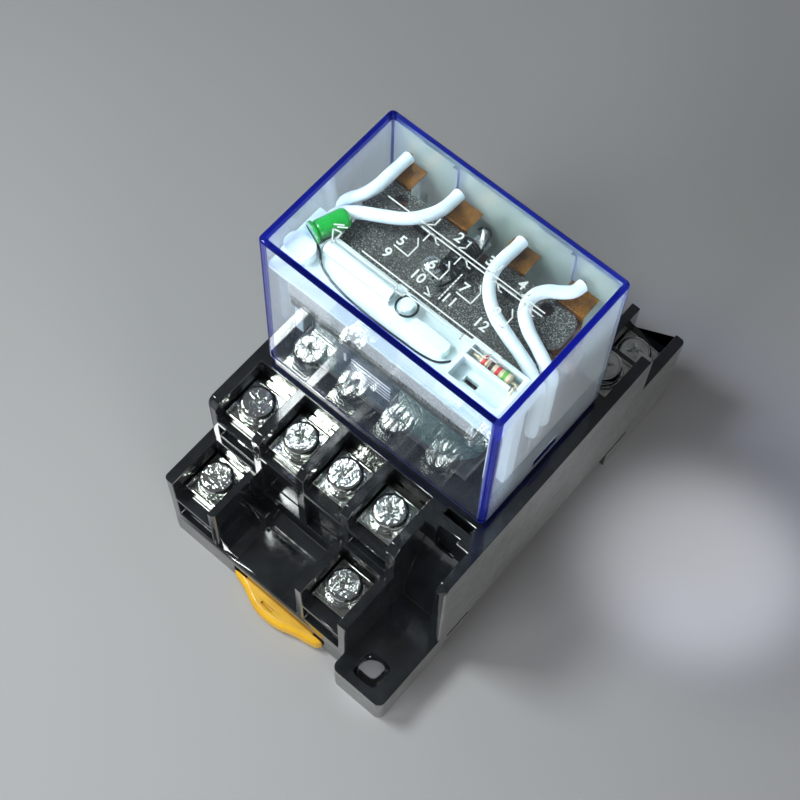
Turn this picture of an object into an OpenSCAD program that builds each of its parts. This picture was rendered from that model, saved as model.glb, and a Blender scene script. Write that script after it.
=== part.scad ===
// Plug-in power relay with four changeover contacts, seated in its
// screw-terminal socket for a 35 mm rail or a panel. Millimetres, +Z up.
// The origin is the centre of the socket's mounting face.

/* [Socket] */
// Width of the socket across the rail direction
socket_w = 46; // [46:0.2:47]
// Length of the moulding without its ears
socket_len = 70.8; // [70.8:0.2:72]
// Height of the deck that the relay stands on
deck_z = 31; // [31:0.2:32]
// Length of the raised deck
deck_len = 49.6; // [49.6:0.2:50.4]
// Height of the lower terminal tier
tier_z = 20.4; // [20:0.1:21]
// Thickness of the base slab and of the ears
slab_h = 7.5; // [7.2:0.1:7.8]
// How far each ear stands out past the moulding
ear_reach = 2.9; // [2.9:0.1:3.5]
// Radius of the two mounting holes
mount_hole_r = 2.2; // [2.1:0.05:2.4]
// Distance of each mounting hole from the socket's middle, across and along
mount_hole_at = [18.1, 34.5];

/* [Rail] */
// Width of the rail channel
rail_w = 35.4; // [35.2:0.1:35.6]
// Depth of the rail channel
rail_depth = 5.6; // [5.4:0.1:5.8]
// Front edge of the rail channel
rail_front = -17; // [-17.2:0.1:-16.8]

/* [Terminals] */
// Centre of the first terminal column
column_x0 = -17.6; // [-17.7:0.05:-17.5]
// Spacing of the terminal columns
column_pitch = 8.7; // [8.6:0.05:8.75]
// Thickness of the ear's top around its hole
ear_t = 2.6; // [2.5:0.1:3]
// Clear width of one terminal bay
bay_w = 7.1; // [7.1:0.05:7.2]
// Distance of the upper screws from the socket's middle
upper_y = 19.5; // [19.4:0.1:19.6]
// Distance of the lower screws from the socket's middle
lower_y = 29.6; // [29.5:0.1:29.7]
// Floor of the upper bays
upper_floor = 25.6; // [25.5:0.1:25.8]
// Floor of the lower bays
lower_floor = 14.6; // [14.5:0.1:14.8]
// Radius of the screw thread
screw_r = 1.45; // [1.4:0.01:1.46]

/* [Relay] */
// Width of the clear cover
cover_w = 41.3; // [41.3:0.1:41.5]
// Depth of the clear cover
cover_d = 27.5; // [27.5:0.1:27.8]
// Height of the cover's foot
cover_foot = 33; // [32.8:0.1:33.2]
// Height of the cover's top
cover_top = 67; // [67:0.1:68]
// Wall of the cover
cover_wall = 1; // [0.9:0.05:1]
// Width of a plug-in blade
blade_w = 4.75; // [4.6:0.05:4.8]
// Thickness of a plug-in blade
blade_t = 0.8; // [0.7:0.05:0.8]
// Height of the blades' tips when the relay is seated
blade_tip = 24; // [23.8:0.1:24.5]
// Contact spacing across the relay
pole_pitch = 10; // [9.9:0.05:10.1]

/* [Hidden] */
$fn = 40;
e = 0.1;                                  // how far a cut runs past a face
hx = socket_w / 2;
hy = socket_len / 2;
deck_y = deck_len / 2;
bay = bay_w / 2;
rib_t = column_pitch - bay_w;             // partition between two bays
bay_back = 14.6;                          // back wall of the upper bays
lower_back = 25.7;                         // back wall of the lower bays
strip_t = 0.8;                            // terminal strip thickness
strip_w = 3;                              // strip width past its pad
lamp_foot = [-17.2, -6.5, 62.4];           // foot of the lamp's lens
lamp_turn = 20;                            // turn of the lamp towards the middle
pocket_x = [13.8, 21.3];                  // finger pocket beside the upper bays
cavity = [20.4, 13.1];                    // half sizes of the contact cavity
cavity_z = [7.1, 29.4];
rail_back = rail_front + rail_w;
clip_x = -0.5;                            // centre line of the rail clip
coil_x = 13;                              // coil blades, either side
coil_y = 10.6;
com_y = 5.6;
no_y = 10.6;
nc_y = 5;
leaf = [0.45, 0.85];                      // receptacle leaf faces off the blade's middle
clamp_t = 0.8;
clamp_gap = 0.02;
washer_t = 0.5;
head_h = 2;
screw_len = 8;
in_x = cover_w / 2 - cover_wall;
in_y = cover_d / 2 - cover_wall;
base_top = 37.2;
link_z = [37.2, 38];                      // the blades' inner cross links
coil_mid = -4.6;                          // middle of the coil along Y
contact_z = 44;                           // height of the contacts
hinge_y = 5.2;
armature_z = [58, 59.4];
coil_z = [40, 54];                        // outer faces of the bobbin flanges
tape_half = [15.5, 6.8];
lead_r = 0.95;
pin_r = 0.2;
lead_pin_z = 61.6;
wire_r = 0.2;
holder_z = [60.4, 61.2];
socket_black = "#15181a";
nickel = "#c9ccc8";

function column(i) = column_x0 + i * column_pitch;
function pole(i) = (i - 1.5) * pole_pitch;

// A block between two corners
module block(x, y, z) {
    translate([x[0], y[0], z[0]]) cube([x[1] - x[0], y[1] - y[0], z[1] - z[0]]);
}

// A flat outline with round corners
module round_rect(x, y, r) {
    translate([x[0] + r, y[0]]) square([x[1] - x[0] - 2 * r, y[1] - y[0]]);
    translate([x[0], y[0] + r]) square([x[1] - x[0], y[1] - y[0] - 2 * r]);
    for (px = [x[0] + r, x[1] - r], py = [y[0] + r, y[1] - r]) translate([px, py]) circle(r);
}

// A block with round upright edges
module round_block(x, y, z, r) {
    translate([0, 0, z[0]]) linear_extrude(z[1] - z[0]) round_rect(x, y, r);
}

// A profile in Y and Z, drawn out along X
module along_x(x, points) {
    translate([x[0], 0, 0]) rotate([90, 0, 90]) linear_extrude(x[1] - x[0]) polygon(points);
}

// A profile in X and Z, drawn out along Y
module along_y(y, points) {
    translate([0, y[1], 0]) rotate([90, 0, 0]) linear_extrude(y[1] - y[0]) polygon(points);
}

// Points of a tube swept along a path, with a frame carried from ring to ring
function unit(v) = v / norm(v);
function heading(p, i) = unit(p[min(i + 1, len(p) - 1)] - p[max(i - 1, 0)]);
function carry(p, i, ref) =
    let (t = heading(p, i), n = unit(ref - t * (ref * t)))
    i == len(p) - 1 ? [n] : concat([n], carry(p, i + 1, n));
function smooth(p, steps) = [for (i = [0 : len(p) - 2], s = [0 : steps - 1])
    let (a = p[max(i - 1, 0)], b = p[i], c = p[i + 1], d = p[min(i + 2, len(p) - 1)], t = s / steps)
    0.5 * (2 * b + (c - a) * t + (2 * a - 5 * b + 4 * c - d) * t * t
        + (3 * b - a - 3 * c + d) * t * t * t), p[len(p) - 1]];
module tube(p, r, sides, ref) {
    normals = carry(p, 0, ref);
    rings = [for (i = [0 : len(p) - 1], k = [0 : sides - 1])
        let (t = heading(p, i), n = normals[i], b = cross(t, n), a = 360 * k / sides)
        p[i] + r * (cos(a) * n + sin(a) * b)];
    last = (len(p) - 1) * sides;
    polyhedron(rings, concat(
        [[for (k = [0 : sides - 1]) k]],
        [for (i = [0 : len(p) - 2], k = [0 : sides - 1], h = [0, 1])
            let (a = i * sides + k, b = i * sides + (k + 1) % sides)
            h == 0 ? [a, a + sides, b + sides] : [a, b + sides, b]],
        [[for (k = [sides - 1 : -1 : 0]) last + k]]));
}

// ---- socket ----

// Everything cut alike from both ends; the ends are half a turn apart
module end_cuts() {
    for (i = [0 : 3]) translate([column(i), 0, 0]) {
        block([-bay, bay], [-deck_y - e, -bay_back], [upper_floor, deck_z + e]);
        block([-bay, bay], [-deck_y - e, 1.5 - deck_y], [tier_z + 0.2, upper_floor - 1]);
        translate([0, -upper_y, 18.5]) cylinder(r = 1.7, h = upper_floor - 18.5 + e);
        block([-1.7, 1.7], [-bay_back - e, -cavity[1] + e], [upper_floor - 0.1, upper_floor + 0.9]);
    }
    // finger pocket open to the end, with a sloped back
    along_x(pocket_x, [[-deck_y - e, slab_h], [-deck_y - e, deck_z + e], [-17.8, deck_z + e],
        [-17.8, 25], [-22, 12], [-22, slab_h]]);
    block([15.7, 19.2], [-17.9, -16.9], [23, deck_z + e]);
    // slot for a hold-down clip
    block([14.9, 19.8], [-15.3, -14.1], [25, deck_z + e]);
    // mounting hole through the ear, which is hollow from below
    translate([mount_hole_at[0], -mount_hole_at[1], -e]) cylinder(r = mount_hole_r, h = slab_h + 2 * e);
    block([14.6, 21.8], [-37.2, -30], [-e, slab_h - ear_t]);
}

// One lower bay with its screw hole and the way for its strip
module lower_bay_cut(i) {
    translate([column(i), 0, 0]) {
        block([-bay, bay], [-hy - e, -lower_back], [lower_floor, tier_z + e]);
        block([-bay, bay], [-hy - e, 1.2 - hy], [slab_h + 0.4, lower_floor - 0.8]);
        translate([0, -lower_y, 7.9]) cylinder(r = 1.7, h = lower_floor - 7.9 + e);
        block([-1.7, 1.7], [-lower_back - e, -cavity[1] + e], [lower_floor - 0.1, lower_floor + 0.9]);
    }
}

module socket_body() color(socket_black) difference() {
    union() {
        round_block([-hx, hx], [-hy, hy], [0, slab_h], 0.8);
        for (turn = [0, 180]) rotate([0, 0, turn])
            round_block([13.2, hx], [-hy - ear_reach, 10 - hy], [0, slab_h], 1.2);
        intersection() {
            round_block([-hx, hx], [-deck_y, deck_y], [0, deck_z], 0.8);
            along_x([-hx, hx], [[-deck_y, 0], [-deck_y, deck_z - 1.2], [1.2 - deck_y, deck_z],
                [deck_y - 1.2, deck_z], [deck_y, deck_z - 1.2], [deck_y, 0]]);
        }
        // lower tier: two terminals in front, four at the back
        round_block([-hx, column(0) + bay + 1.25], [-hy, -20], [0, tier_z], 0.8);
        round_block([column(3) - bay - rib_t, column(3) + bay + rib_t], [-hy, -20], [0, tier_z], 0.4);
        rotate([0, 0, 180]) round_block([-hx, column(3) + bay + rib_t], [-hy, -20], [0, tier_z], 0.8);
        // hollow-rounded foot of the open wire bay
        difference() {
            block([-12.9, -9.3], [0.6 - hy, -deck_y], [slab_h - 1, slab_h + 3.5]);
            translate([-9.3, -deck_y + e, slab_h + 3.5]) rotate([90, 0, 0]) cylinder(r = 3.45, h = 20, $fn = 64);
        }
        difference() {
            block([-12.9, 3.4], [-27.9, -24.5], [slab_h - 1, slab_h + 3.5]);
            translate([-9.6, -27.9, slab_h + 3.5]) rotate([0, 90, 0]) cylinder(r = 3.45, h = 14, $fn = 64);
        }
    }
    for (turn = [0, 180]) rotate([0, 0, turn]) end_cuts();
    for (i = [0, 3]) lower_bay_cut(i);
    rotate([0, 0, 180]) for (i = [0 : 3]) lower_bay_cut(i);
    for (i = [1, 2]) translate([column(i), 0, 0])
        block([-bay, bay], [-deck_y - e, 1.5 - deck_y], [12, tier_z + 0.3]);
    // contact cavity with partitions between the poles, closed from below
    difference() {
        block([-cavity[0], cavity[0]], [-cavity[1], cavity[1]], cavity_z);
        for (x = [-pole_pitch, 0, pole_pitch]) block([x - 0.4, x + 0.4], [-cavity[1] - e, cavity[1] + e], [27, 30]);
    }
    block([-21, 21], [-13.8, 13.8], [0, cavity_z[0] + 0.001]);
    // slots that the blades go through
    for (i = [0 : 3], y = [-com_y, nc_y, no_y]) blade_slot(pole(i), y, 0.35, [cavity_z[1] - e, deck_z + e]);
    for (x = [-coil_x, coil_x]) blade_slot(x, -coil_y, 0.35, [cavity_z[1] - e, deck_z + e]);
    rail_channel();
    // guide for the rail clip
    block([clip_x - 9.5, clip_x + 9.5], [-hy - 1, rail_front + 1], [2.2, 4.6]);
    block([clip_x - 7.2, clip_x + 7.2], [-hy - 1, rail_front + 1], [-e, 2.3]);
}

// A through slot for one blade, with room all round
module blade_slot(x, y, room, z) {
    w = blade_w / 2 + room;
    t = blade_t / 2 + room;
    block([x - w, x + w], [y - t, y + t], z);
}

// Rail channel with lip grooves, a cut-back front lip and two fixed hooks at the back
module rail_channel() {
    difference() {
        block([-hx - e, hx + e], [rail_front, rail_back], [-e, rail_depth]);
        for (x = [-14, 6]) along_x([x, x + 8],
            [[rail_back + e, 1.6], [rail_back - 1.3, 3.6], [rail_back - 1.3, 4.4], [rail_back + e, 4.4]]);
    }
    block([-hx - e, hx + e], [rail_front - 5.2, rail_back + 5.2], [rail_depth - 1, rail_depth]);
    block([-hx - e, hx + e], [rail_front - 6, rail_front + e], [-e, 3.4]);
}

module contact_cover() color(socket_black) difference() {
    block([-20.9, 20.9], [-13.7, 13.7], [rail_depth, 7]);
    for (x = [-12, 0, 12]) translate([x, 0, rail_depth - e]) cylinder(r = 1.2, h = 0.5 + e);
}

// Sliding rail clip: a guided plate with a nose, and a rounded pull tab outside
module din_clip() color("#f0b21c") translate([clip_x, 0, 0]) difference() {
    union() {
        block([-9.3, 9.3], [-34.9, rail_front], [2.4, 4.4]);
        along_x([-6, 6], [[rail_front - e, 2.4], [rail_front - e, 4.4], [rail_front + 1.3, 4.4],
            [rail_front + 1.3, 4]]);
        block([-7, 7], [-35.7, -24], [0.4, 2.5]);
        translate([0, 0, 0.4]) linear_extrude(2) {
            round_rect([-9.3, 9.3], [-36.9, -35.6], 0.6);
            translate([-0.6, -34.3]) circle(4.002);
            translate([-5.4, -36.2]) square([9.8, 0.9]);
            // flowing shoulders either side of the hump
            translate([-4.9, -36.9]) difference() {
                translate([0, 0]) square([1.6, 1.2]);
                translate([-0.3, -0.9]) circle(1.3);
            }
            translate([2.1, -36.9]) difference() {
                translate([0, 0]) square([1.6, 1.2]);
                translate([1.9, -0.9]) circle(1.3);
            }
        }
    }
    // screwdriver slot in the tab
    block([-2.6, 1.4], [-37.3, -36.3], [0, 2.3]);
    // relief that lets the plate flex
    for (x = [-5.2, 3.2]) block([x, x + 2], [-33, -22], [2, 5]);
}

// A terminal strip: pad under the screw, run to the receptacle, two spring leaves
module conductor(i, at, pad_y, back_y, floor_z) {
    x = column(i);
    z = [floor_z, floor_z + strip_t];
    half = strip_w / 2;
    turn_y = [-at[1] - 2.4, -at[1] - 0.9];
    difference() {
        block([x - 2.8, x + 2.8], [-pad_y - 3.6, -back_y - e], z);
        translate([x, -pad_y, floor_z - e]) cylinder(r = screw_r + 0.025, h = 1);
    }
    block([x - half, x + half], [-back_y - 2 * e, turn_y[1]], z);
    block([min(x, at[0]) - half, max(x, at[0]) + half], turn_y, z);
    block([at[0] - half, at[0] + half], [turn_y[0], -at[1] - leaf[0]], z);
    block([at[0] - half, at[0] + half], [-at[1] - leaf[1], -at[1] - leaf[0]], [floor_z, 23]);
    for (y = [[-leaf[1], -leaf[0]], [leaf[0], leaf[1]]])
        block([at[0] - 2.3, at[0] + 2.3], [y[0] - at[1], y[1] - at[1]], [22.6, 28.6]);
    block([at[0] - 2.3, at[0] + 2.3], [-leaf[1] - at[1], leaf[1] - at[1]], [22.6, 23.2]);
}

module com_strips() color(nickel) for (i = [0 : 3])
    conductor(i, [pole(i), com_y], upper_y, bay_back, upper_floor);

module coil_strips() color(nickel) for (i = [0, 3])
    conductor(i, [i == 0 ? -coil_x : coil_x, coil_y], lower_y, lower_back, lower_floor);

module no_strips() color(nickel) rotate([0, 0, 180]) for (i = [0 : 3])
    conductor(i, [pole(i), no_y], upper_y, bay_back, upper_floor);

module nc_strips() color(nickel) rotate([0, 0, 180]) for (i = [0 : 3])
    conductor(i, [pole(i), nc_y], lower_y, lower_back, lower_floor);

// Pan-head screw with its washer; its clamp plate lies under the washer
module screw(at, floor_z) {
    seat = floor_z + strip_t + clamp_gap + clamp_t;
    translate([at[0], at[1], seat]) difference() {
        rotate_extrude() polygon([[0, 0.5 - screw_len], [screw_r - 0.4, 0.5 - screw_len],
            [screw_r, 1 - screw_len], [screw_r, 0], [3.1, 0], [3.1, washer_t], [2.75, washer_t],
            [2.75, washer_t + 1], [2.5, washer_t + 1.6], [1.9, washer_t + head_h], [0, washer_t + head_h]]);
        for (a = [40, 130]) rotate([0, 0, a])
            translate([-1.5, -0.33, washer_t + head_h - 1.2]) cube([3, 0.66, 1.3]);
    }
}

// Clamp plate with serrated ends, held up by its screw
module clamp_plate(at, floor_z) {
    ridge = [0, 0.25, 0.25, 0];
    translate([at[0], at[1], floor_z + strip_t + clamp_gap]) difference() {
        union() {
            block([-3.3, 3.3], [-3.7, 3.7], [0, clamp_t]);
            for (y = [-3.5, 3.2]) block([-3.3, 3.3], [y, y + 0.3], [clamp_t - e, clamp_t + 0.2]);
            for (x = [-3.3, 3.0]) block([x, x + 0.3], [-3.7, -1.4], [clamp_t - e, clamp_t + 0.5]);
        }
        translate([0, 0, -e]) cylinder(r = 1.6, h = 2);
    }
}

module front_upper_screws() color(nickel) for (i = [0 : 3]) screw([column(i), -upper_y], upper_floor);
module front_lower_screws() color(nickel) for (i = [0, 3]) screw([column(i), -lower_y], lower_floor);
module back_upper_screws() color(nickel) for (i = [0 : 3]) screw([-column(i), upper_y], upper_floor);
module back_lower_screws() color(nickel) for (i = [0 : 3]) screw([-column(i), lower_y], lower_floor);
module front_upper_clamps() color(nickel) for (i = [0 : 3]) clamp_plate([column(i), -upper_y], upper_floor);
module front_lower_clamps() color(nickel) for (i = [0, 3]) clamp_plate([column(i), -lower_y], lower_floor);
module back_upper_clamps() color(nickel) for (i = [0 : 3]) clamp_plate([-column(i), upper_y], upper_floor);
module back_lower_clamps() color(nickel) for (i = [0 : 3]) clamp_plate([-column(i), lower_y], lower_floor);

// ---- relay ----

module cover() color([0.75, 0.83, 1, 0.3]) {
    difference() {
        round_block([-cover_w / 2, cover_w / 2], [-cover_d / 2, cover_d / 2], [cover_foot, cover_top], 0.9);
        round_block([-in_x, in_x], [-in_y, in_y], [cover_foot - e, cover_top - cover_wall], 0.4);
    }
    // ribs and thicker panels inside the back wall
    for (x = [-8, 12]) {
        block([x - 0.4, x + 0.4], [in_y - 0.8, in_y + e], [48, cover_top - cover_wall + e]);
        block([x - 6, x - 0.4], [in_y - 0.3, in_y + e], [48, cover_top - cover_wall + e]);
    }
}

module relay_base() color("#1b1d1f") difference() {
    union() {
        round_block([-20.2, 20.2], [-13.3, 13.3], [deck_z, cover_foot], 0.8);
        round_block([-in_x + 0.15, in_x - 0.15], [-in_y + 0.15, in_y - 0.15], [cover_foot - e, base_top], 0.4);
    }
    for (i = [0 : 3], y = [-com_y, nc_y, no_y]) blade_slot(pole(i), y, 0.05, [deck_z - e, base_top + e]);
    for (x = [-coil_x, coil_x]) blade_slot(x, -coil_y, 0.05, [deck_z - e, base_top + e]);
}

// One plug-in blade up to the cross links inside the base
module blade(x, y) {
    w = blade_w / 2;
    t = blade_t / 2;
    along_x([x - w, x + w], [[y - 0.15, blade_tip], [y - t, blade_tip + 1], [y - t, link_z[1]],
        [y + t, link_z[1]], [y + t, blade_tip + 1], [y + 0.15, blade_tip]]);
}

module com_blades() color(nickel) {
    for (i = [0 : 3]) blade(pole(i), -com_y);
    // each blade's link ends in a pin at the side, under its lead
    for (side = [-1, 1]) {
        outer_y = side < 0 ? -1.3 : -2.9;
        inner_y = side < 0 ? 0.9 : -0.5;
        x_outer = 1.5 * pole_pitch;
        x_inner = 0.5 * pole_pitch;
        mirror([side < 0 ? 1 : 0, 0, 0]) {
            block([x_outer - 1, 18.9], [-com_y - 0.4, -com_y + 0.4], link_z);
            block([18.1, 18.9], [-com_y - 0.4, outer_y + 0.4], link_z);
            block([x_inner - 0.4, x_inner + 0.4], [-com_y, inner_y + 0.4], link_z);
            block([x_inner - 0.4, 18.9], [inner_y - 0.4, inner_y + 0.4], link_z);
            for (y = [outer_y, inner_y]) translate([18.5, y, link_z[0]]) cylinder(r = 0.35, h = 9.6);
        }
    }
}

module coil_blades() color(nickel) for (x = [-coil_x, coil_x]) {
    blade(x, -coil_y);
    block([x - 0.6, x + 0.6], [-12.3, -coil_y], link_z);
    block([x - 0.6, x + 0.6], [-12.3, -11.95], [link_z[0], 44]);
}

module no_blades() color(nickel) for (i = [0 : 3]) {
    blade(pole(i), no_y);
    block([pole(i) - 2, pole(i) + 2], [no_y, 11.6], link_z);
    block([pole(i) - 2, pole(i) + 2], [11, 11.6], [link_z[0], 46]);
}

module nc_blades() color(nickel) for (i = [0 : 3]) {
    blade(pole(i), nc_y);
    block([pole(i) - 2, pole(i) + 2], [nc_y, 7], link_z);
    block([pole(i) - 2, pole(i) + 2], [6.4, 7], [link_z[0], 46]);
}

// L-shaped yoke: foot under the coil, upright behind it, guide tabs and a spring tongue on top
module yoke() color("#a9aca6") {
    block([-14, 14], [-10.6, 6], [38.4, 40]);
    block([-14, 14], [4.4, 6], [38.4, 57.9]);
    for (x = [-8.5, 5.5]) block([x, x + 3], [4.9, 5.5], [57.8, 60]);
    block([-1.2, 1.2], [4.6, 5.8], [57.8, 60.4]);
    block([-1.2, 1.2], [4.6, 9], [59.8, 60.4]);
    block([-0.4, 0.4], [8.5, 9], [60.3, 62.9]);
}

// Iron core with a wide pole plate and a raised pole face
module core() color("#c4c6c0") {
    round_block([-9, 9], [coil_mid - 2.2, coil_mid + 2.2], [coil_z[0], coil_z[1] + e], 2);
    difference() {
        block([-16.2, 15.8], [-11.7, 2.4], [coil_z[1], coil_z[1] + 1.6]);
        block([-6.4, -5.2], [-12, -10.9], [coil_z[1] - 1, coil_z[1] + 2]);
    }
    block([-14.5, 14.5], [-9.6, 1.5], [coil_z[1] + 1.5, 57]);
}

module bobbin() color("#2a2d2c") difference() {
    union() {
        for (z = [coil_z[0], coil_z[1] - 1]) block([-16, 16], [-11.8, 2.6], [z, z + 1]);
        round_block([-10, 10], [coil_mid - 3.2, coil_mid + 3.2], [coil_z[0] + 0.5, coil_z[1] - 0.5], 2.9);
    }
    round_block([-9.1, 9.1], [coil_mid - 2.3, coil_mid + 2.3], [coil_z[0] - e, coil_z[1] + e], 2.1);
}

// A round-ended ring about the coil's upright axis
module coil_ring(grow_out, grow_in) {
    difference() {
        round_block([-tape_half[0] - grow_out, tape_half[0] + grow_out],
            [coil_mid - tape_half[1] - grow_out, coil_mid + tape_half[1] + grow_out],
            [coil_z[0] + 1.05, coil_z[1] - 1.05], 5);
        round_block([-grow_in[0], grow_in[0]], [coil_mid - grow_in[1], coil_mid + grow_in[1]],
            coil_z, grow_in[2]);
    }
}

module winding() color("#9c5a2c") coil_ring(-0.3, [10.05, 3.25, 2.95]);

module coil_tape() color("#5d6a64") coil_ring(0, [tape_half[0] - 0.28, tape_half[1] - 0.28, 4.7]);

module coil_label() color("#33424d")
    block([-8.2, 3.2], [coil_mid - tape_half[1] - 0.15, coil_mid - tape_half[1]], [41.9, 51.6]);

// Armature plate: wide front over the pole, tail with ears behind the hinge line
module armature() color("#8f918b") {
    difference() {
        union() {
            round_block([-15.4, 15.4], [-9.5, 5], armature_z, 1.5);
            round_block([-17.3, 17.3], [2.6, 8.4], armature_z, 1.8);
        }
        for (x = [-8.8, 5.2]) block([x, x + 3.6], [4.5, 5.9], [57, 60]);
        block([-1.8, 1.8], [4.1, 9], [57, 60]);
        for (x = [-12.6, 12.6]) translate([x, 6.6, 57]) cylinder(r = 1, h = 3);
    }
    // hook for the return spring
    block([-0.4, 0.4], [-0.9, -0.4], [59.3, 62.9]);
    block([-1.2, 1.2], [-2, -0.4], [59.3, 59.8]);
}

module hook_rivet() color("#dfe3e0") translate([-3, 1.6, armature_z[1]]) rotate_extrude()
    polygon([[0, 0], [1.5, 0], [1.45, 0.45], [1.1, 0.95], [0.5, 1.2], [0, 1.2]]);

module contact_card() color("#3c2417") difference() {
    block([-17.3, 17.3], [6.9, 8.5], [50, armature_z[0]]);
    for (x = [-12.6, 12.6]) translate([x, 6, 54]) rotate([-90, 0, 0]) cylinder(r = 0.8, h = 4);
}

// Bronze leaf springs with a solder tab and a wire pin on top
module moving_springs() color("#a8692c") for (i = [0 : 3]) {
    x = pole(i);
    lx = lead_start(i);
    block([x - 2.3, x + 2.3], [8.5, 8.75], [41.5, 60]);
    block([x - 2.3, x + 2.3], [8.5, 12.1], [59.75, 60]);
    block([lx - 0.2, lx + 0.2], [11.8, 12.1], [59.9, lead_pin_z + pin_r]);
    translate([lx, 11.9, lead_pin_z]) rotate([90, 0, 0]) cylinder(r = pin_r, h = 1.2);
}

// One contact rivet along Y
module contact(x, y, length) {
    translate([x, y, contact_z]) rotate([-90, 0, 0]) cylinder(r = 1.5, h = length);
}

module moving_contacts() color("#d8d8d2") for (i = [0 : 3]) {
    contact(pole(i), 7.85, 0.65);
    contact(pole(i), 8.75, 0.65);
}
module nc_contacts() color("#d8d8d2") for (i = [0 : 3]) contact(pole(i), 7, 0.8);
module no_contacts() color("#d8d8d2") for (i = [0 : 3]) contact(pole(i), 10.38, 0.62);

// Close-wound tension spring along Y with a loop at each end
function spring_point(t) = [1.45 * cos(t), 0.9 + 5.6 * t / 4320, 62.2 + 1.45 * sin(t)];
spring_path = concat(
    [[-0.9, -0.7, 62.2], [-0.6, -1.35, 62.2], [0, -1.5, 62.2], [0.8, -1.2, 62.2], [1.1, -0.4, 62.2],
        [1.3, 0.3, 62.2]],
    [for (k = [0 : 96]) spring_point(45 * k)],
    [[1.3, 7.2, 62.2], [1.1, 8.2, 62.2], [0.8, 9.1, 62.2], [0, 9.6, 62.2], [-0.7, 9.2, 62.2],
        [-0.95, 8.6, 62.2]]);
module return_spring() color("#26292b") tube(spring_path, 0.22, 6, [0, 0, 1]);

// Sleeved leads: from a spring's pin, over the armature, down to a common pin
function lead_start(i) = [-15.6, -6.6, 4.4, 14.6][i];
lead_route = [
    [[-15.6, 10.2, 61.6], [-15.6, 7.6, 61.8], [-15.7, 4.6, 61.9], [-16.4, 2.6, 61.7],
        [-17.5, 1.5, 61], [-18.3, 1, 59.4], [-18.5, 0.9, 57], [-18.5, 0.9, 52], [-18.5, 0.9, 48.6]],
    [[-6.6, 10.2, 61.6], [-6.7, 8.2, 61.8], [-7.6, 5.8, 61.9], [-9.4, 3.6, 61.9], [-12, 1.9, 61.9],
        [-14.8, 0.4, 61.6], [-17.1, -0.7, 60.6], [-18.3, -1.2, 58.8], [-18.5, -1.3, 56.5],
        [-18.5, -1.3, 52], [-18.5, -1.3, 48.6]],
    [[4.4, 10.2, 61.6], [4.3, 7.8, 61.8], [4.5, 5.2, 61.9], [5.7, 2.8, 61.9], [8.2, 0.6, 61.9],
        [11.6, -0.9, 61.9], [14.8, -1.9, 61.7], [17, -2.5, 60.9], [18.2, -2.8, 59.2],
        [18.5, -2.9, 56.8], [18.5, -2.9, 52], [18.5, -2.9, 48.6]],
    [[14.6, 10.2, 61.6], [13.3, 9, 61.8], [11.6, 7.4, 61.9], [10.8, 5.4, 61.9], [11.3, 3.4, 61.9],
        [13.2, 1.6, 61.9], [15.8, 0.4, 61.6], [17.6, -0.2, 60.5], [18.4, -0.4, 58.6],
        [18.5, -0.5, 56.4], [18.5, -0.5, 52], [18.5, -0.5, 48.6]]];
module lead(i) color("#eef3ee") {
    route = lead_route[i];
    end = route[len(route) - 1];
    tube(smooth(route, 3), lead_r - 0.06, 8, [1, 0, 0.2]);
    // open ends that slip over the pins
    translate([lead_start(i), 11.5, lead_pin_z]) rotate([90, 0, 0]) sleeve_end(1.35);
    translate([end[0], end[1], 45.6]) sleeve_end(3.05);
}
module sleeve_end(length) difference() {
    cylinder(r = lead_r, h = length);
    translate([0, 0, -e]) cylinder(r = 0.75, h = length);
}
module lead_1() lead(0);
module lead_2() lead(1);
module lead_3() lead(2);
module lead_4() lead(3);

// White moulding across the front that carries the lamp and its resistor
module lamp_holder() color("#f0f6f2") difference() {
    union() {
        round_block([-19.3, 19.3], [-12.4, -4.2], holder_z, 0.5);
        block([-15.6, 16.2], [-12.4, -11.8], [57.4, 61]);
        for (x = [-18.9, 17.4]) block([x, x + 1.5], [-8.4, -6.3], [base_top, 60.5]);
        // cradle under the lamp
        block([-19.3, -14.8], [-7.5, -2.6], [60.4, 62]);
        round_block([-19.2, -14.6], [-10.8, -7.6], [61, 63.2], 1.4);
        // trough under the lamp's sleeve
        block([-14.4, -2.9], [-7.6, -5.4], [61, 61.9]);
        round_block([1.4, 7.6], [-9, -7.1], [61, 62.9], 0.7);
        translate([-0.5, -6.6, 61]) cylinder(r = 0.95, h = 2.4);
        // tray for the resistor
        block([9.2, 18.6], [-11.4, -4.5], [61, 63.6]);
    }
    translate(lamp_foot) rotate([90, 0, -lamp_turn]) translate([0, 0, -5.6]) cylinder(r = 1.75, h = 5.7);
    translate([0, -6.5, 62.3]) rotate([0, -90, 0]) cylinder(r = 1.05, h = 15);
    block([9.9, 17.9], [-7, -5.1], [61.4, 64]);
    block([9.9, 17.9], [-10.8, -7.6], [61.6, 64]);
    block([11.5, 13.6], [-9.6, -8.7], [60, 62]);
    block([17.3, 18.2], [-7.7, -6.9], [62.9, 64]);
}

module led() color("#18a83a") translate(lamp_foot) rotate([-90, 0, -lamp_turn]) {
    cylinder(r = 1.7, h = 0.5);
    cylinder(r = 1.5, h = 4.1);
    translate([0, 0, 4.1]) sphere(1.5);
}

module led_sleeve() color("#f4faf6") translate([-3, -6.5, 62.3]) rotate([0, -90, 0]) difference() {
    cylinder(r = 1, h = 11.4);
    translate([0, 0, -e]) cylinder(r = 0.6, h = 12);
}

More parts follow.
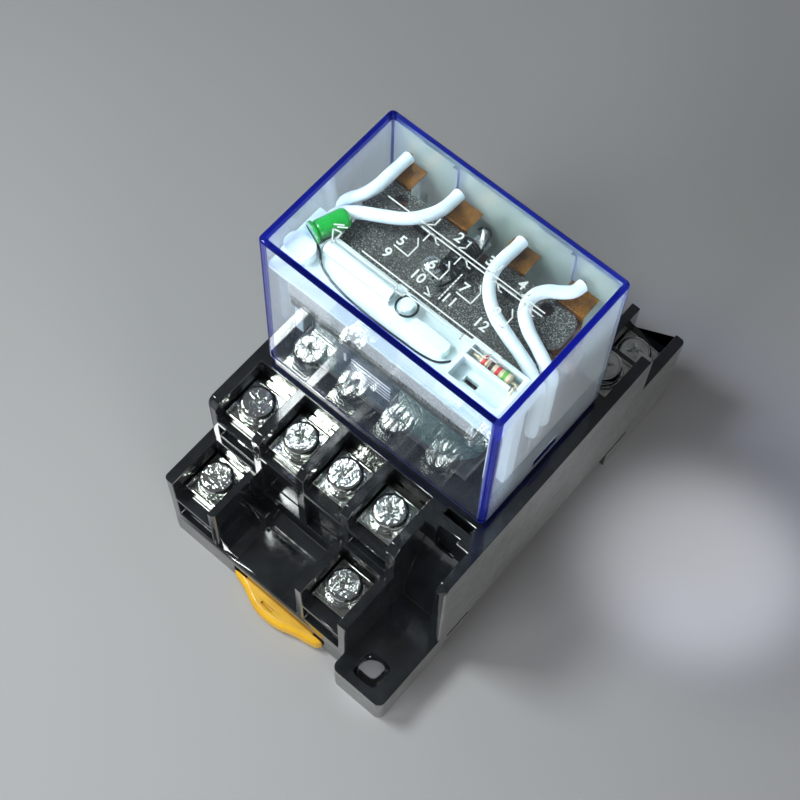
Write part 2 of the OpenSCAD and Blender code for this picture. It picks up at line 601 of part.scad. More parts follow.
module resistor() color("#d8c49a") {
    translate([11.6, -6.05, 62.5]) rotate([0, 90, 0]) {
        cylinder(r = 0.75, h = 5);
        for (z = [0.2, 3.7]) translate([0, 0, z]) cylinder(r = 0.9, h = 1.1);
        translate([0, 0, -1.2]) cylinder(r = wire_r, h = 7);
    }
    tube([[17.3, -6.05, 62.5], [17.55, -6.2, 62.5], [17.65, -6.5, 62.6], [17.68, -6.75, 63],
        [17.68, -7, 63.7], [17.68, -7.3, 64], [17.68, -7.6, 63.7], [17.68, -8, 62.6]], wire_r, 6, [0, 0, 1]);
}

lamp_route = [[-15.6, -7.2, 62.2], [-14.5, -7.9, 62.1], [-13.6, -8.8, 61.6], [-12, -9.5, 61.42],
    [-9.3, -10.1, 61.42], [-6, -10.4, 61.42], [-2, -10.5, 61.42], [2, -10.4, 61.42], [5.4, -10.2, 61.42],
    [7.4, -9.6, 61.42], [8.6, -8.4, 61.42]];
module lamp_lead() color("#2b2b28") {
    tube(smooth(lamp_route, 2), wire_r, 6, [0, 0, 1]);
    translate([-0.5, -6.6, 62.6]) rotate_extrude() translate([1.5, 0]) circle(wire_r, $fn = 16);
}

socket_body();
contact_cover();
din_clip();
com_strips();
coil_strips();
no_strips();
nc_strips();
front_upper_screws();
front_lower_screws();
back_upper_screws();
back_lower_screws();
front_upper_clamps();
front_lower_clamps();
back_upper_clamps();
back_lower_clamps();
cover();
relay_base();
com_blades();
coil_blades();
no_blades();
nc_blades();
yoke();
core();
bobbin();
winding();
coil_tape();
coil_label();
armature();
hook_rivet();
contact_card();
moving_springs();
moving_contacts();
nc_contacts();
no_contacts();
return_spring();
lead_1();
lead_2();
lead_3();
lead_4();
lamp_holder();
led();
led_sleeve();
resistor();
lamp_lead();
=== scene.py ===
"""Visual model of a four-pole plug-in control relay standing in its screw-terminal socket."""

import functools
import logging
import math
from collections.abc import Callable, Sequence
from dataclasses import dataclass, field
from enum import Enum

import bpy
from mathutils import Matrix, Vector


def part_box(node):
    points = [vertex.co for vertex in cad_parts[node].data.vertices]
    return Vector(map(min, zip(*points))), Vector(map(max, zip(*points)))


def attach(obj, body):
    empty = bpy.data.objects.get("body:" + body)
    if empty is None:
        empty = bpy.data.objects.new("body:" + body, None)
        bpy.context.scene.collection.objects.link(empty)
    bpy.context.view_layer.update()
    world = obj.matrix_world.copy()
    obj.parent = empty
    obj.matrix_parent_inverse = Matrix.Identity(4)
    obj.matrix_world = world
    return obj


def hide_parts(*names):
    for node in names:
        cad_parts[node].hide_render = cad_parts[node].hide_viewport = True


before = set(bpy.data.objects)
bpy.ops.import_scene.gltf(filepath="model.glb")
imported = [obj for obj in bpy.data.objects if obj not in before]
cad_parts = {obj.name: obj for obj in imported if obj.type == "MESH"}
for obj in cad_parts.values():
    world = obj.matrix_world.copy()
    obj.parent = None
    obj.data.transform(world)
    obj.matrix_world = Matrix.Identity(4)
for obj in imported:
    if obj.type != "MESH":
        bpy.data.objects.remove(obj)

log = logging.getLogger("relay")
MM = 0.001
KINDS = ("com", "coil", "no", "nc")  # what the strips and blades serve
FOLD = 32.0  # degrees between two faces that make an edge
TUBE_FOLD = 40.0  # the same along a tube
FLAT = 0.6  # degrees between two faces that count as one
MERGE = 0.002  # millimetres between two corners that are one
FINE_MERGE = 0.001  # the same for the mesh of a curve
LEAST_EDGE = 3.2  # shortest rounded edge, in widths of its rounding
LEAST_ROOM = 1.3  # shortest edge beside a rounded one, in widths of the rounding
Object = bpy.types.Object
Point = tuple[float, float, float]
Colour = tuple[float, float, float]
Stroke = tuple[tuple[float, float], ...]
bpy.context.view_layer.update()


# ---------------------------------------------------------------- shader nodes


class Shading:
    """Adds shader nodes to one new material and joins them."""

    def __init__(self, name: str) -> None:
        """Starts an empty material.

        Args:
            name: The material's name.
        """
        self.material = bpy.data.materials.new(name)
        self.material.use_nodes = True
        self.tree = self.material.node_tree
        self.tree.nodes.clear()
        self.output = self.add("ShaderNodeOutputMaterial")
        self.place = self.add("ShaderNodeTexCoord").outputs["Object"]

    def add(self, kind: str, settings: dict | None = None, inputs: dict | None = None) -> bpy.types.Node:
        """Adds a node.

        Args:
            kind: The node's type name.
            settings: Its properties.
            inputs: Socket name or number to a value or to another node's socket.

        Returns:
            The node.
        """
        node = self.tree.nodes.new(kind)
        for key, value in (settings or {}).items():
            setattr(node, key, value)
        for key, value in (inputs or {}).items():
            if isinstance(value, bpy.types.NodeSocket):
                self.tree.links.new(value, node.inputs[key])
            else:
                node.inputs[key].default_value = value
        return node

    def noise(self, scale: float, detail: float = 3.0, rough: float = 0.5) -> bpy.types.NodeSocket:
        """Returns the factor of a noise pattern; scale counts its features per metre."""
        node = self.add("ShaderNodeTexNoise", inputs={"Vector": self.place, "Scale": scale,
                                                      "Detail": detail, "Roughness": rough})
        return node.outputs["Fac"]

    def stretch(self, factors: Point) -> bpy.types.NodeSocket:
        """Returns object coordinates stretched by a factor along each axis."""
        return self.add("ShaderNodeMapping", inputs={"Vector": self.place, "Scale": factors}).outputs[0]

    def span(self, value: bpy.types.NodeSocket, low: float, high: float,
             start: float = 0.3, end: float = 0.7) -> bpy.types.NodeSocket:
        """Maps a value from the range start to end onto the range low to high."""
        node = self.add("ShaderNodeMapRange", inputs={"Value": value, "From Min": start, "From Max": end,
                                                      "To Min": low, "To Max": high})
        return node.outputs[0]

    def blend(self, factor: bpy.types.NodeSocket, first: Colour, second: Colour) -> bpy.types.NodeSocket:
        """Returns a colour between two, picked by a factor."""
        node = self.add("ShaderNodeMix", {"data_type": "RGBA"},
                        {0: factor, 6: (*first, 1), 7: (*second, 1)})
        return node.outputs[2]

    def bump(self, height: bpy.types.NodeSocket, strength: float, depth: float) -> bpy.types.NodeSocket:
        """Returns a normal bent by a height pattern; depth is in millimetres."""
        node = self.add("ShaderNodeBump", inputs={"Height": height, "Strength": strength,
                                                  "Distance": depth * MM})
        return node.outputs[0]

    def principled(self, inputs: dict) -> bpy.types.Node:
        """Adds a Principled shader with the inputs given."""
        return self.add("ShaderNodeBsdfPrincipled", inputs=inputs)

    def finish(self, shader: bpy.types.Node) -> bpy.types.Material:
        """Joins a shader to the output and returns the material."""
        self.tree.links.new(shader.outputs[0], self.output.inputs["Surface"])
        return self.material


# ---------------------------------------------------------------- finishes


@dataclass(frozen=True)
class Plastic:
    """Moulded plastic: a fine skin, uneven gloss and faint dust."""

    slot: str
    colour: Colour
    pale: Colour
    gloss: tuple[float, float] = (0.2, 0.35)
    grain: float = 2600.0
    relief: float = 0.02
    coat: float = 0.0
    glow_through: float = 0.0
    shine: float = 0.5

    @functools.cache
    def material(self) -> bpy.types.Material:
        """Makes the material once and returns it each time."""
        s = Shading(self.slot)
        tone = s.span(s.noise(240.0, 4.0), 0, 1)
        dust = s.span(s.noise(9000.0, 2.0), 0, 0.5, 0.68, 0.8)
        shade = s.add("ShaderNodeMath", {"operation": "MAXIMUM"}, {0: tone, 1: dust}).outputs[0]
        wobble = s.add("ShaderNodeMath", inputs={0: s.noise(self.grain, 3.0), 1: s.noise(160.0, 1.0)})
        shader = s.principled({
            "Base Color": s.blend(shade, self.colour, self.pale),
            "Roughness": s.span(s.noise(700.0, 5.0), *self.gloss),
            "Normal": s.bump(wobble.outputs[0], 0.5, self.relief),
            "Coat Weight": self.coat, "Coat Roughness": 0.04, "Specular IOR Level": self.shine,
            "Subsurface Weight": self.glow_through, "Subsurface Radius": (0.6 * MM, 0.7 * MM, 0.6 * MM),
            "IOR": 1.5})
        return s.finish(shader)


@dataclass(frozen=True)
class Metal:
    """Sheet or wire metal: a plated or rolled face with small dents and rubbed patches."""

    slot: str
    colour: Colour
    dull: Colour
    gloss: tuple[float, float] = (0.12, 0.3)
    dents: float = 0.03
    rolled: Point = (1.0, 1.0, 1.0)
    metallic: float = 1.0

    @functools.cache
    def material(self) -> bpy.types.Material:
        """Makes the material once and returns it each time."""
        s = Shading(self.slot)
        s.place = s.stretch(self.rolled)
        patch = s.span(s.noise(420.0, 5.0, 0.6), 0, 1, 0.4, 0.65)
        rub = s.noise(5200.0, 3.0)
        shader = s.principled({
            "Base Color": s.blend(patch, self.colour, self.dull),
            "Metallic": self.metallic,
            "Roughness": s.span(rub, *self.gloss),
            "Normal": s.bump(s.noise(900.0, 3.0), 0.6, self.dents)})
        return s.finish(shader)


@dataclass(frozen=True)
class SpeckledPlate:
    """Plated steel with a salt-and-pepper grain."""

    slot: str
    name: str
    dark: Colour
    light: Colour
    grain: float = 2400.0

    @functools.cache
    def material(self) -> bpy.types.Material:
        """Makes the material once and returns it each time."""
        s = Shading(self.name)
        speck = s.span(s.noise(self.grain, 4.0, 0.65), 0, 1, 0.5, 0.68)
        cloud = s.span(s.noise(140.0, 2.0), 0.45, 1.0, 0.35, 0.65)
        grain = s.add("ShaderNodeMath", {"operation": "MULTIPLY"}, {0: speck, 1: cloud}).outputs[0]
        shader = s.principled({
            "Base Color": s.blend(grain, self.dark, self.light),
            "Metallic": 0.55,
            "Roughness": s.span(speck, 0.5, 0.28, 0, 1),
            "Normal": s.bump(speck, 0.35, 0.03)})
        return s.finish(shader)


@dataclass(frozen=True)
class ClearPlastic:
    """Clear, faintly blue polycarbonate that lets lamps shine in.

    haze is its share of milky light, and foot_haze, where it isn't 0, the share near the foot of the cover.
    """

    slot: str
    name: str
    tint: Colour
    haze: float
    haze_colour: Colour
    shine_in: Colour = (0.9, 0.93, 1.0)
    absorb: Colour = (0.45, 0.55, 0.97)
    density: float = 30.0
    index: float = 1.49
    foot_haze: float = 0.0
    foot: tuple[float, float] = (24.0, 40.0)

    @functools.cache
    def material(self) -> bpy.types.Material:
        """Makes the material once and returns it each time."""
        s = Shading(self.name)
        scuff = s.span(s.noise(1500.0, 5.0), 0.0, 0.012)
        glass = s.principled({"Base Color": (*self.tint, 1), "Roughness": scuff, "IOR": self.index,
                              "Transmission Weight": 1.0})
        height = s.add("ShaderNodeSeparateXYZ", inputs={0: s.place}).outputs["Z"]
        share = s.span(height, self.foot_haze or self.haze, self.haze, *(z * MM for z in self.foot))
        milk = s.add("ShaderNodeBsdfTranslucent", inputs={"Color": (*self.haze_colour, 1)})
        chalk = s.add("ShaderNodeBsdfDiffuse", inputs={"Color": (*self.haze_colour, 1)})
        cloud = s.add("ShaderNodeMixShader", inputs={0: 0.5, 1: milk.outputs[0], 2: chalk.outputs[0]})
        mixed = s.add("ShaderNodeMixShader", inputs={0: share, 1: glass.outputs[0], 2: cloud.outputs[0]})
        lamp = s.add("ShaderNodeBsdfTransparent", inputs={"Color": (*self.shine_in, 1)})
        ray = s.add("ShaderNodeLightPath").outputs["Is Shadow Ray"]
        both = s.add("ShaderNodeMixShader", inputs={0: ray, 1: mixed.outputs[0], 2: lamp.outputs[0]})
        depth = s.add("ShaderNodeVolumeAbsorption", inputs={"Color": (*self.absorb, 1),
                                                            "Density": self.density})
        s.tree.links.new(depth.outputs[0], s.output.inputs["Volume"])
        return s.finish(both)


@dataclass(frozen=True)
class Ink:
    """A thin printed or painted coat."""

    slot: str
    name: str
    colour: Colour
    gloss: float = 0.45
    spread: float = 0.1
    wear: float = 0.8

    @functools.cache
    def material(self) -> bpy.types.Material:
        """Makes the material once and returns it each time."""
        s = Shading(self.name)
        rubbed = s.span(s.noise(3800.0, 4.0), 0, 1, 0.3, 0.45)
        worn = tuple(c * self.wear for c in self.colour)
        gloss = s.span(s.noise(2000.0), self.gloss - self.spread, self.gloss + self.spread)
        shader = s.principled({"Base Color": s.blend(rubbed, worn, self.colour), "Roughness": gloss})
        return s.finish(shader)


@dataclass(frozen=True)
class WoundWire:
    """Lacquered copper wire laid turn on turn about the coil's upright axis."""

    slot: str
    colour: Colour
    turn: float = 0.25
    shade: float = 0.4

    @functools.cache
    def material(self) -> bpy.types.Material:
        """Makes the material once and returns it each time."""
        s = Shading("wound_wire")
        rings = s.add("ShaderNodeTexWave", {"bands_direction": "Z"}, {
            "Vector": s.place, "Scale": math.pi / (20 * self.turn * MM), "Distortion": 0.4}).outputs["Fac"]
        # painted shade: the colour darkens between the turns, where shade falls in the grooves
        painted_gap_shade = tuple(c * self.shade for c in self.colour)
        shader = s.principled({
            "Base Color": s.blend(rings, painted_gap_shade, self.colour),
            "Metallic": 0.8, "Roughness": 0.32, "Coat Weight": 0.5,
            "Normal": s.bump(rings, 0.8, 0.1)})
        return s.finish(shader)


class Finishes(Enum):
    """Every finish on the relay and its socket."""

    BLACK = Plastic("socket_plastic", (0.005, 0.0062, 0.0075), (0.015, 0.018, 0.02), (0.06, 0.17), 1500,
                    0.006, coat=0.6, shine=0.8)
    # painted light: the socket's sides and slab ends get this paler grey, which stands in for the light
    # falling on them; their rougher matt skin is the moulding's own
    SIDE = Plastic("socket_plastic", (0.1, 0.104, 0.1), (0.15, 0.155, 0.15), (0.3, 0.42), 1800, 0.012,
                   shine=1.0)
    BASE = Plastic("base_plastic", (0.006, 0.007, 0.009), (0.016, 0.018, 0.02), (0.1, 0.24), coat=0.3)
    YELLOW = Plastic("clip_plastic", (0.56, 0.29, 0.006), (0.74, 0.42, 0.015), (0.3, 0.5), 900, 0.08)
    BOBBIN = Plastic("bobbin_plastic", (0.02, 0.022, 0.022), (0.05, 0.055, 0.052), (0.35, 0.5))
    WHITE = Plastic("white_plastic", (0.56, 0.68, 0.64), (0.68, 0.79, 0.75), (0.25, 0.4), 1800, 0.02,
                    glow_through=0.25)
    SLEEVE = Plastic("sleeve", (0.62, 0.74, 0.71), (0.74, 0.84, 0.81), (0.3, 0.45), 1500, 0.04,
                     glow_through=0.3)
    TAPE = Plastic("tape", (0.05, 0.09, 0.08), (0.085, 0.14, 0.125), (0.16, 0.3), 500, 0.012, coat=0.5)
    LABEL = Plastic("label", (0.035, 0.05, 0.065), (0.05, 0.07, 0.085), (0.25, 0.4))
    PHENOLIC = Plastic("phenolic", (0.05, 0.024, 0.012), (0.11, 0.055, 0.025), (0.3, 0.5), 3500, 0.04)
    GREEN = Plastic("led_green", (0.0, 0.26, 0.02), (0.01, 0.42, 0.05), (0.15, 0.25), 900, 0.01, 1.0, 0.2)
    NICKEL = Metal("nickel", (0.72, 0.74, 0.69), (0.48, 0.5, 0.45), (0.04, 0.14), 0.075)
    SCREW = Metal("screw_steel", (0.92, 0.94, 0.92), (0.7, 0.74, 0.71), (0.03, 0.12), 0.42)
    IRON = Metal("iron", (0.66, 0.67, 0.63), (0.4, 0.41, 0.38), (0.2, 0.4), 0.02, (1.0, 3.0, 0.3))
    BRONZE = Metal("bronze", (0.28, 0.115, 0.012), (0.09, 0.035, 0.006), (0.12, 0.4), 0.07, metallic=0.5)
    ZINC = SpeckledPlate("iron", "zinc_plate", (0.48, 0.5, 0.48), (0.95, 0.97, 0.95), 3600)
    SILVER = Metal("silver", (0.84, 0.84, 0.82), (0.7, 0.7, 0.67), (0.2, 0.35))
    DARK_WIRE = Metal("dark_steel", (0.07, 0.08, 0.08), (0.03, 0.035, 0.035), (0.2, 0.35), 0.02)
    SPECKLED = SpeckledPlate("iron", "speckled_plate", (0.055, 0.058, 0.045), (0.62, 0.64, 0.57), 4600)
    CLEAR = ClearPlastic("clear_cover", "cover_panel", (0.97, 0.985, 1.0), 0.008, (0.8, 0.86, 1.0))
    CLEAR_FRONT = ClearPlastic("clear_cover", "cover_front", (0.97, 0.985, 1.0), 0.012, (0.8, 0.86, 1.0),
                               index=1.7)
    CLEAR_WALL = ClearPlastic("clear_cover", "cover_wall", (0.94, 0.96, 1.0), 0.18, (0.84, 0.93, 0.95),
                              foot_haze=0.05)
    CLEAR_BACK = ClearPlastic("clear_cover", "cover_back", (0.95, 0.97, 1.0), 0.3, (0.82, 1.0, 0.8))
    # painted light: a deep blue tint and dark blue haze on the cover's rims, corners and foot, standing in
    # for the blue glow of light led along the clear walls
    CLEAR_EDGE_PAINTED_GLOW = ClearPlastic("clear_cover", "cover_edge_painted_glow", (0.3, 0.4, 1.0), 0.5, (0.004, 0.01, 0.2))
    PRINT = Ink("label", "white_print", (0.86, 0.93, 0.93))
    RED_BAND = Ink("resistor_body", "red_band", (0.6, 0.04, 0.03), 0.25)
    GREEN_BAND = Ink("resistor_body", "green_band", (0.12, 0.4, 0.05), 0.25)
    DARK_BAND = Ink("resistor_body", "dark_band", (0.05, 0.03, 0.02), 0.25)
    TAN = Ink("resistor_body", "resistor_coat", (0.66, 0.56, 0.36), 0.25)
    COPPER = WoundWire("copper_wire", (0.7, 0.3, 0.1))


# ---------------------------------------------------------------- modelling by operators


def work_on(piece: Object) -> None:
    """Leaves one piece selected and active, in object mode.

    Args:
        piece: The piece.
    """
    if bpy.context.object and bpy.context.object.mode != "OBJECT":
        bpy.ops.object.mode_set(mode="OBJECT")
    bpy.ops.object.select_all(action="DESELECT")
    piece.select_set(True)
    bpy.context.view_layer.objects.active = piece


def settled(piece: Object, name: str) -> Object:
    """Names a piece and moves its place, turn and size into its mesh.

    Args:
        piece: The piece.
        name: Its new name.

    Returns:
        The piece.
    """
    work_on(piece)
    piece.name = piece.data.name = name
    bpy.ops.object.transform_apply(location=True, rotation=True, scale=True)
    return piece


def block(name: str, low: Sequence[float], high: Sequence[float]) -> Object:
    """Adds a block between two corners.

    Args:
        name: The piece's name.
        low: Lowest corner in millimetres.
        high: Highest corner in millimetres.

    Returns:
        The block.
    """
    low, high = Vector(low) * MM, Vector(high) * MM
    bpy.ops.mesh.primitive_cube_add(size=1, location=(low + high) / 2)
    piece = bpy.context.object
    piece.scale = high - low
    return settled(piece, name)


def rod(name: str, start: Point, end: Point, radius: float, sides: int = 32) -> Object:
    """Adds a round rod between two points.

    Args:
        name: The piece's name.
        start: Middle of one end in millimetres.
        end: Middle of the other end in millimetres.
        radius: Its radius in millimetres.
        sides: Faces round it.

    Returns:
        The rod.
    """
    a, b = Vector(start) * MM, Vector(end) * MM
    bpy.ops.mesh.primitive_cylinder_add(vertices=sides, radius=radius * MM, depth=(b - a).length,
                                        location=(a + b) / 2)
    piece = bpy.context.object
    piece.rotation_mode = "QUATERNION"
    piece.rotation_quaternion = (b - a).to_track_quat("Z", "Y")
    return settled(piece, name)


def pick_faces(piece: Object, test: Callable[[Vector, Vector], bool]) -> None:
    """Opens a piece in edit mode with only the faces that pass a test selected.

    Args:
        piece: The piece.
        test: Gets a face's centre in millimetres and its normal.
    """
    work_on(piece)
    bpy.context.tool_settings.mesh_select_mode = (False, False, True)
    mesh = piece.data
    for part in (mesh.vertices, mesh.edges):
        part.foreach_set("select", [False] * len(part))
    for face in mesh.polygons:
        face.select = test(face.center / MM, face.normal)
    bpy.ops.object.mode_set(mode="EDIT")


def done(piece: Object) -> Object:
    """Leaves edit mode and returns the piece."""
    bpy.ops.object.mode_set(mode="OBJECT")
    return piece


def modify(piece: Object, kind: str, **settings: object) -> Object:
    """Adds a modifier and applies it.

    Args:
        piece: The piece.
        kind: The modifier's type name.
        settings: The modifier's properties.

    Returns:
        The piece.
    """
    work_on(piece)
    modifier = piece.modifiers.new(kind.lower(), kind)
    for key, value in settings.items():
        setattr(modifier, key, value)
    bpy.ops.object.modifier_apply(modifier=modifier.name)
    return piece


def soften(piece: Object, width: float, segments: int = 2, angle: float = FOLD,
           least: float = 0.0) -> Object:
    """Rounds the sharp edges of a piece.

    Args:
        piece: The piece.
        width: Width of the rounding in millimetres.
        segments: Faces across the rounding.
        angle: The least fold in degrees that counts as an edge.
        least: Edges shorter than this many millimetres stay sharp, as do edges that meet a very
            short one. With 0 every edge is rounded.

    Returns:
        The piece.
    """
    mesh = piece.data
    sides = {key: [] for key in mesh.edge_keys}
    for face in mesh.polygons:
        for key in face.edge_keys:
            sides[key].append(face.normal)
    lengths = [(mesh.vertices[a].co - mesh.vertices[b].co).length / MM for a, b in mesh.edge_keys]
    room = [math.inf] * len(mesh.vertices)
    for edge, length in zip(mesh.edges, lengths):
        for i in edge.vertices:
            room[i] = min(room[i], length)
    weights = mesh.attributes.new("bevel_weight_edge", "FLOAT", "EDGE").data
    for edge, length in zip(mesh.edges, lengths):
        first, last = sides[edge.key][0], sides[edge.key][-1]
        folded = first.length * last.length > 0 and first.angle(last) > math.radians(angle)
        clear = not least or min(room[i] for i in edge.vertices) > LEAST_ROOM * width
        weights[edge.index].value = float(folded and clear and length >= least)
    modify(piece, "BEVEL", width=width * MM, segments=segments, limit_method="WEIGHT",
           use_clamp_overlap=False, harden_normals=False)
    piece.data.attributes.remove(piece.data.attributes["bevel_weight_edge"])
    bpy.ops.object.shade_smooth_by_angle(angle=math.radians(angle))
    return piece


def cut(piece: Object, *tools: Object) -> Object:
    """Cuts tools out of a piece and removes them.

    Args:
        piece: The piece.
        tools: Closed shapes to cut out of it.

    Returns:
        The piece.
    """
    for tool in tools:
        modify(piece, "BOOLEAN", operation="DIFFERENCE", object=tool, solver="EXACT")
        bpy.data.objects.remove(tool)
    return piece


def fuse(piece: Object, *others: Object) -> Object:
    """Adds other closed pieces to a piece as one skin.

    Args:
        piece: The piece.
        others: Closed shapes to add to it.

    Returns:
        The piece.
    """
    for other in others:
        modify(piece, "BOOLEAN", operation="UNION", object=other, solver="EXACT")
        bpy.data.objects.remove(other)
    return piece


def join(name: str, pieces: Sequence[Object]) -> Object:
    """Joins pieces into one object of separate solids.

    Args:
        name: The new piece's name.
        pieces: The pieces to join.

    Returns:
        The new piece.
    """
    work_on(pieces[0])
    for piece in pieces[1:]:
        piece.select_set(True)
    if len(pieces) > 1:
        bpy.ops.object.join()
    return settled(bpy.context.object, name)


def twin_of(piece: Object) -> Object:
    """Copies a piece with its own mesh.

    Args:
        piece: The piece.

    Returns:
        The copy, in the same place.
    """
    twin = bpy.data.objects.new(piece.name, piece.data.copy())
    bpy.context.collection.objects.link(twin)
    return twin


def from_frame(node: str, name: str, width: float = 0.1, segments: int = 2) -> Object:
    """Copies a node of the frame, joins its triangles into faces and rounds its edges.

    Args:
        node: The node to copy.
        name: The new piece's name.
        width: Width of the rounding in millimetres, or 0 for none.
        segments: Faces across the rounding.

    Returns:
        The new piece.
    """
    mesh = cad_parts[node].data.copy()
    mesh.materials.clear()
    piece = bpy.data.objects.new(name, mesh)
    bpy.context.collection.objects.link(piece)
    pick_faces(piece, lambda centre, normal: True)
    bpy.ops.mesh.remove_doubles(threshold=MERGE * MM)
    bpy.ops.mesh.dissolve_limited(angle_limit=math.radians(FLAT))
    done(piece)
    if width:
        soften(piece, width, segments, least=LEAST_EDGE * width)
    else:
        bpy.ops.object.shade_smooth_by_angle(angle=math.radians(FOLD))
    return piece


def mesh_of(name: str, curve: bpy.types.Curve, height: float = 0.0) -> Object:
    """Turns a curve into a mesh and leaves it open in edit mode, all selected.

    Args:
        name: The piece's name.
        curve: The curve.
        height: Height of its middle in millimetres.

    Returns:
        The piece.
    """
    piece = bpy.data.objects.new(name, curve)
    bpy.context.collection.objects.link(piece)
    piece.location.z = height * MM
    work_on(piece)
    bpy.ops.object.convert(target="MESH")
    piece = settled(bpy.context.object, name)
    pick_faces(piece, lambda centre, normal: True)
    bpy.ops.mesh.remove_doubles(threshold=FINE_MERGE * MM)
    return piece


def tube(name: str, route: Sequence[Point], radius: float, smooth: bool = True,
         radii: Sequence[float] | None = None, sides: int = 4) -> Object:
    """Sweeps a round tube along a route.

    Args:
        name: The piece's name.
        route: Points in millimetres.
        radius: The tube's radius in millimetres.
        smooth: True for a curve through the points, False for straight runs.
        radii: A scale of the radius at each point.
        sides: Fineness of the round section: the tube has twice as many faces round it, plus four.

    Returns:
        The tube as a closed mesh.
    """
    curve = bpy.data.curves.new(name, "CURVE")
    curve.dimensions = "3D"
    curve.bevel_depth = radius * MM
    curve.bevel_resolution = sides
    curve.use_fill_caps = True
    curve.resolution_u = 8  # pieces between two points
    spline = curve.splines.new("BEZIER" if smooth else "POLY")
    if smooth:
        spline.bezier_points.add(len(route) - 1)
        for k, (knot, point) in enumerate(zip(spline.bezier_points, route)):
            knot.co = Vector(point) * MM
            knot.handle_left_type = knot.handle_right_type = "AUTO"
            knot.radius = radii[k] if radii else 1.0
    else:
        spline.points.add(len(route) - 1)
        for knot, point in zip(spline.points, route):
            knot.co = (*(Vector(point) * MM), 1)
    piece = mesh_of(name, curve)
    bpy.ops.mesh.normals_make_consistent(inside=False)
    done(piece)
    bpy.ops.object.shade_smooth_by_angle(angle=math.radians(TUBE_FOLD))
    return piece


def plate(name: str, outline: Sequence[tuple[float, float]], low: float, high: float) -> Object:
    """Raises a flat outline into a plate.

    Args:
        name: The piece's name.
        outline: Corners in millimetres, in order.
        low: Height of its underside.
        high: Height of its top.

    Returns:
        The plate.
    """
    curve = bpy.data.curves.new(name, "CURVE")
    curve.dimensions = "2D"
    curve.fill_mode = "BOTH"
    curve.extrude = (high - low) / 2 * MM
    spline = curve.splines.new("POLY")
    spline.use_cyclic_u = True
    spline.points.add(len(outline) - 1)
    for knot, (x, y) in zip(spline.points, outline):
        knot.co = (x * MM, y * MM, 0, 1)
    piece = mesh_of(name, curve, (low + high) / 2)
    bpy.ops.mesh.dissolve_limited(angle_limit=math.radians(FLAT))
    bpy.ops.mesh.normals_make_consistent(inside=False)
    return done(piece)


def dress(piece: Object, finish: Finishes, body: str, *nodes: str) -> Object:
    """Gives a piece its finish, its body and the nodes it stands for.

    Args:
        piece: The piece.
        finish: Its finish.
        body: The body it moves with.
        nodes: Frame nodes that it replaces.

    Returns:
        The piece.
    """
    if not piece.data.materials:
        piece.data.materials.append(finish.value.material())
    modify(piece, "WEIGHTED_NORMAL", mode="FACE_AREA", weight=50, keep_sharp=True)
    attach(piece, body)
    if nodes:
        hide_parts(*nodes)
    return piece


def rounded_copy(node: str, name: str, finish: Finishes, body: str, width: float = 0.1,
                 segments: int = 2) -> Object:
    """Copies a node of the frame with rounded edges and gives it its finish and body.

    Args:
        node: The node that it copies and replaces.
        name: The new piece's name.
        finish: Its finish.
        body: The body it moves with.
        width: Width of the rounding in millimetres.
        segments: Faces across the rounding.

    Returns:
        The new piece.
    """
    return dress(from_frame(node, name, width, segments), finish, body, node)


def low_high(node: str) -> tuple[Vector, Vector]:
    """Returns a frame node's lowest and highest corners in millimetres."""
    low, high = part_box(node)
    return low / MM, high / MM


# ---------------------------------------------------------------- sub-assemblies


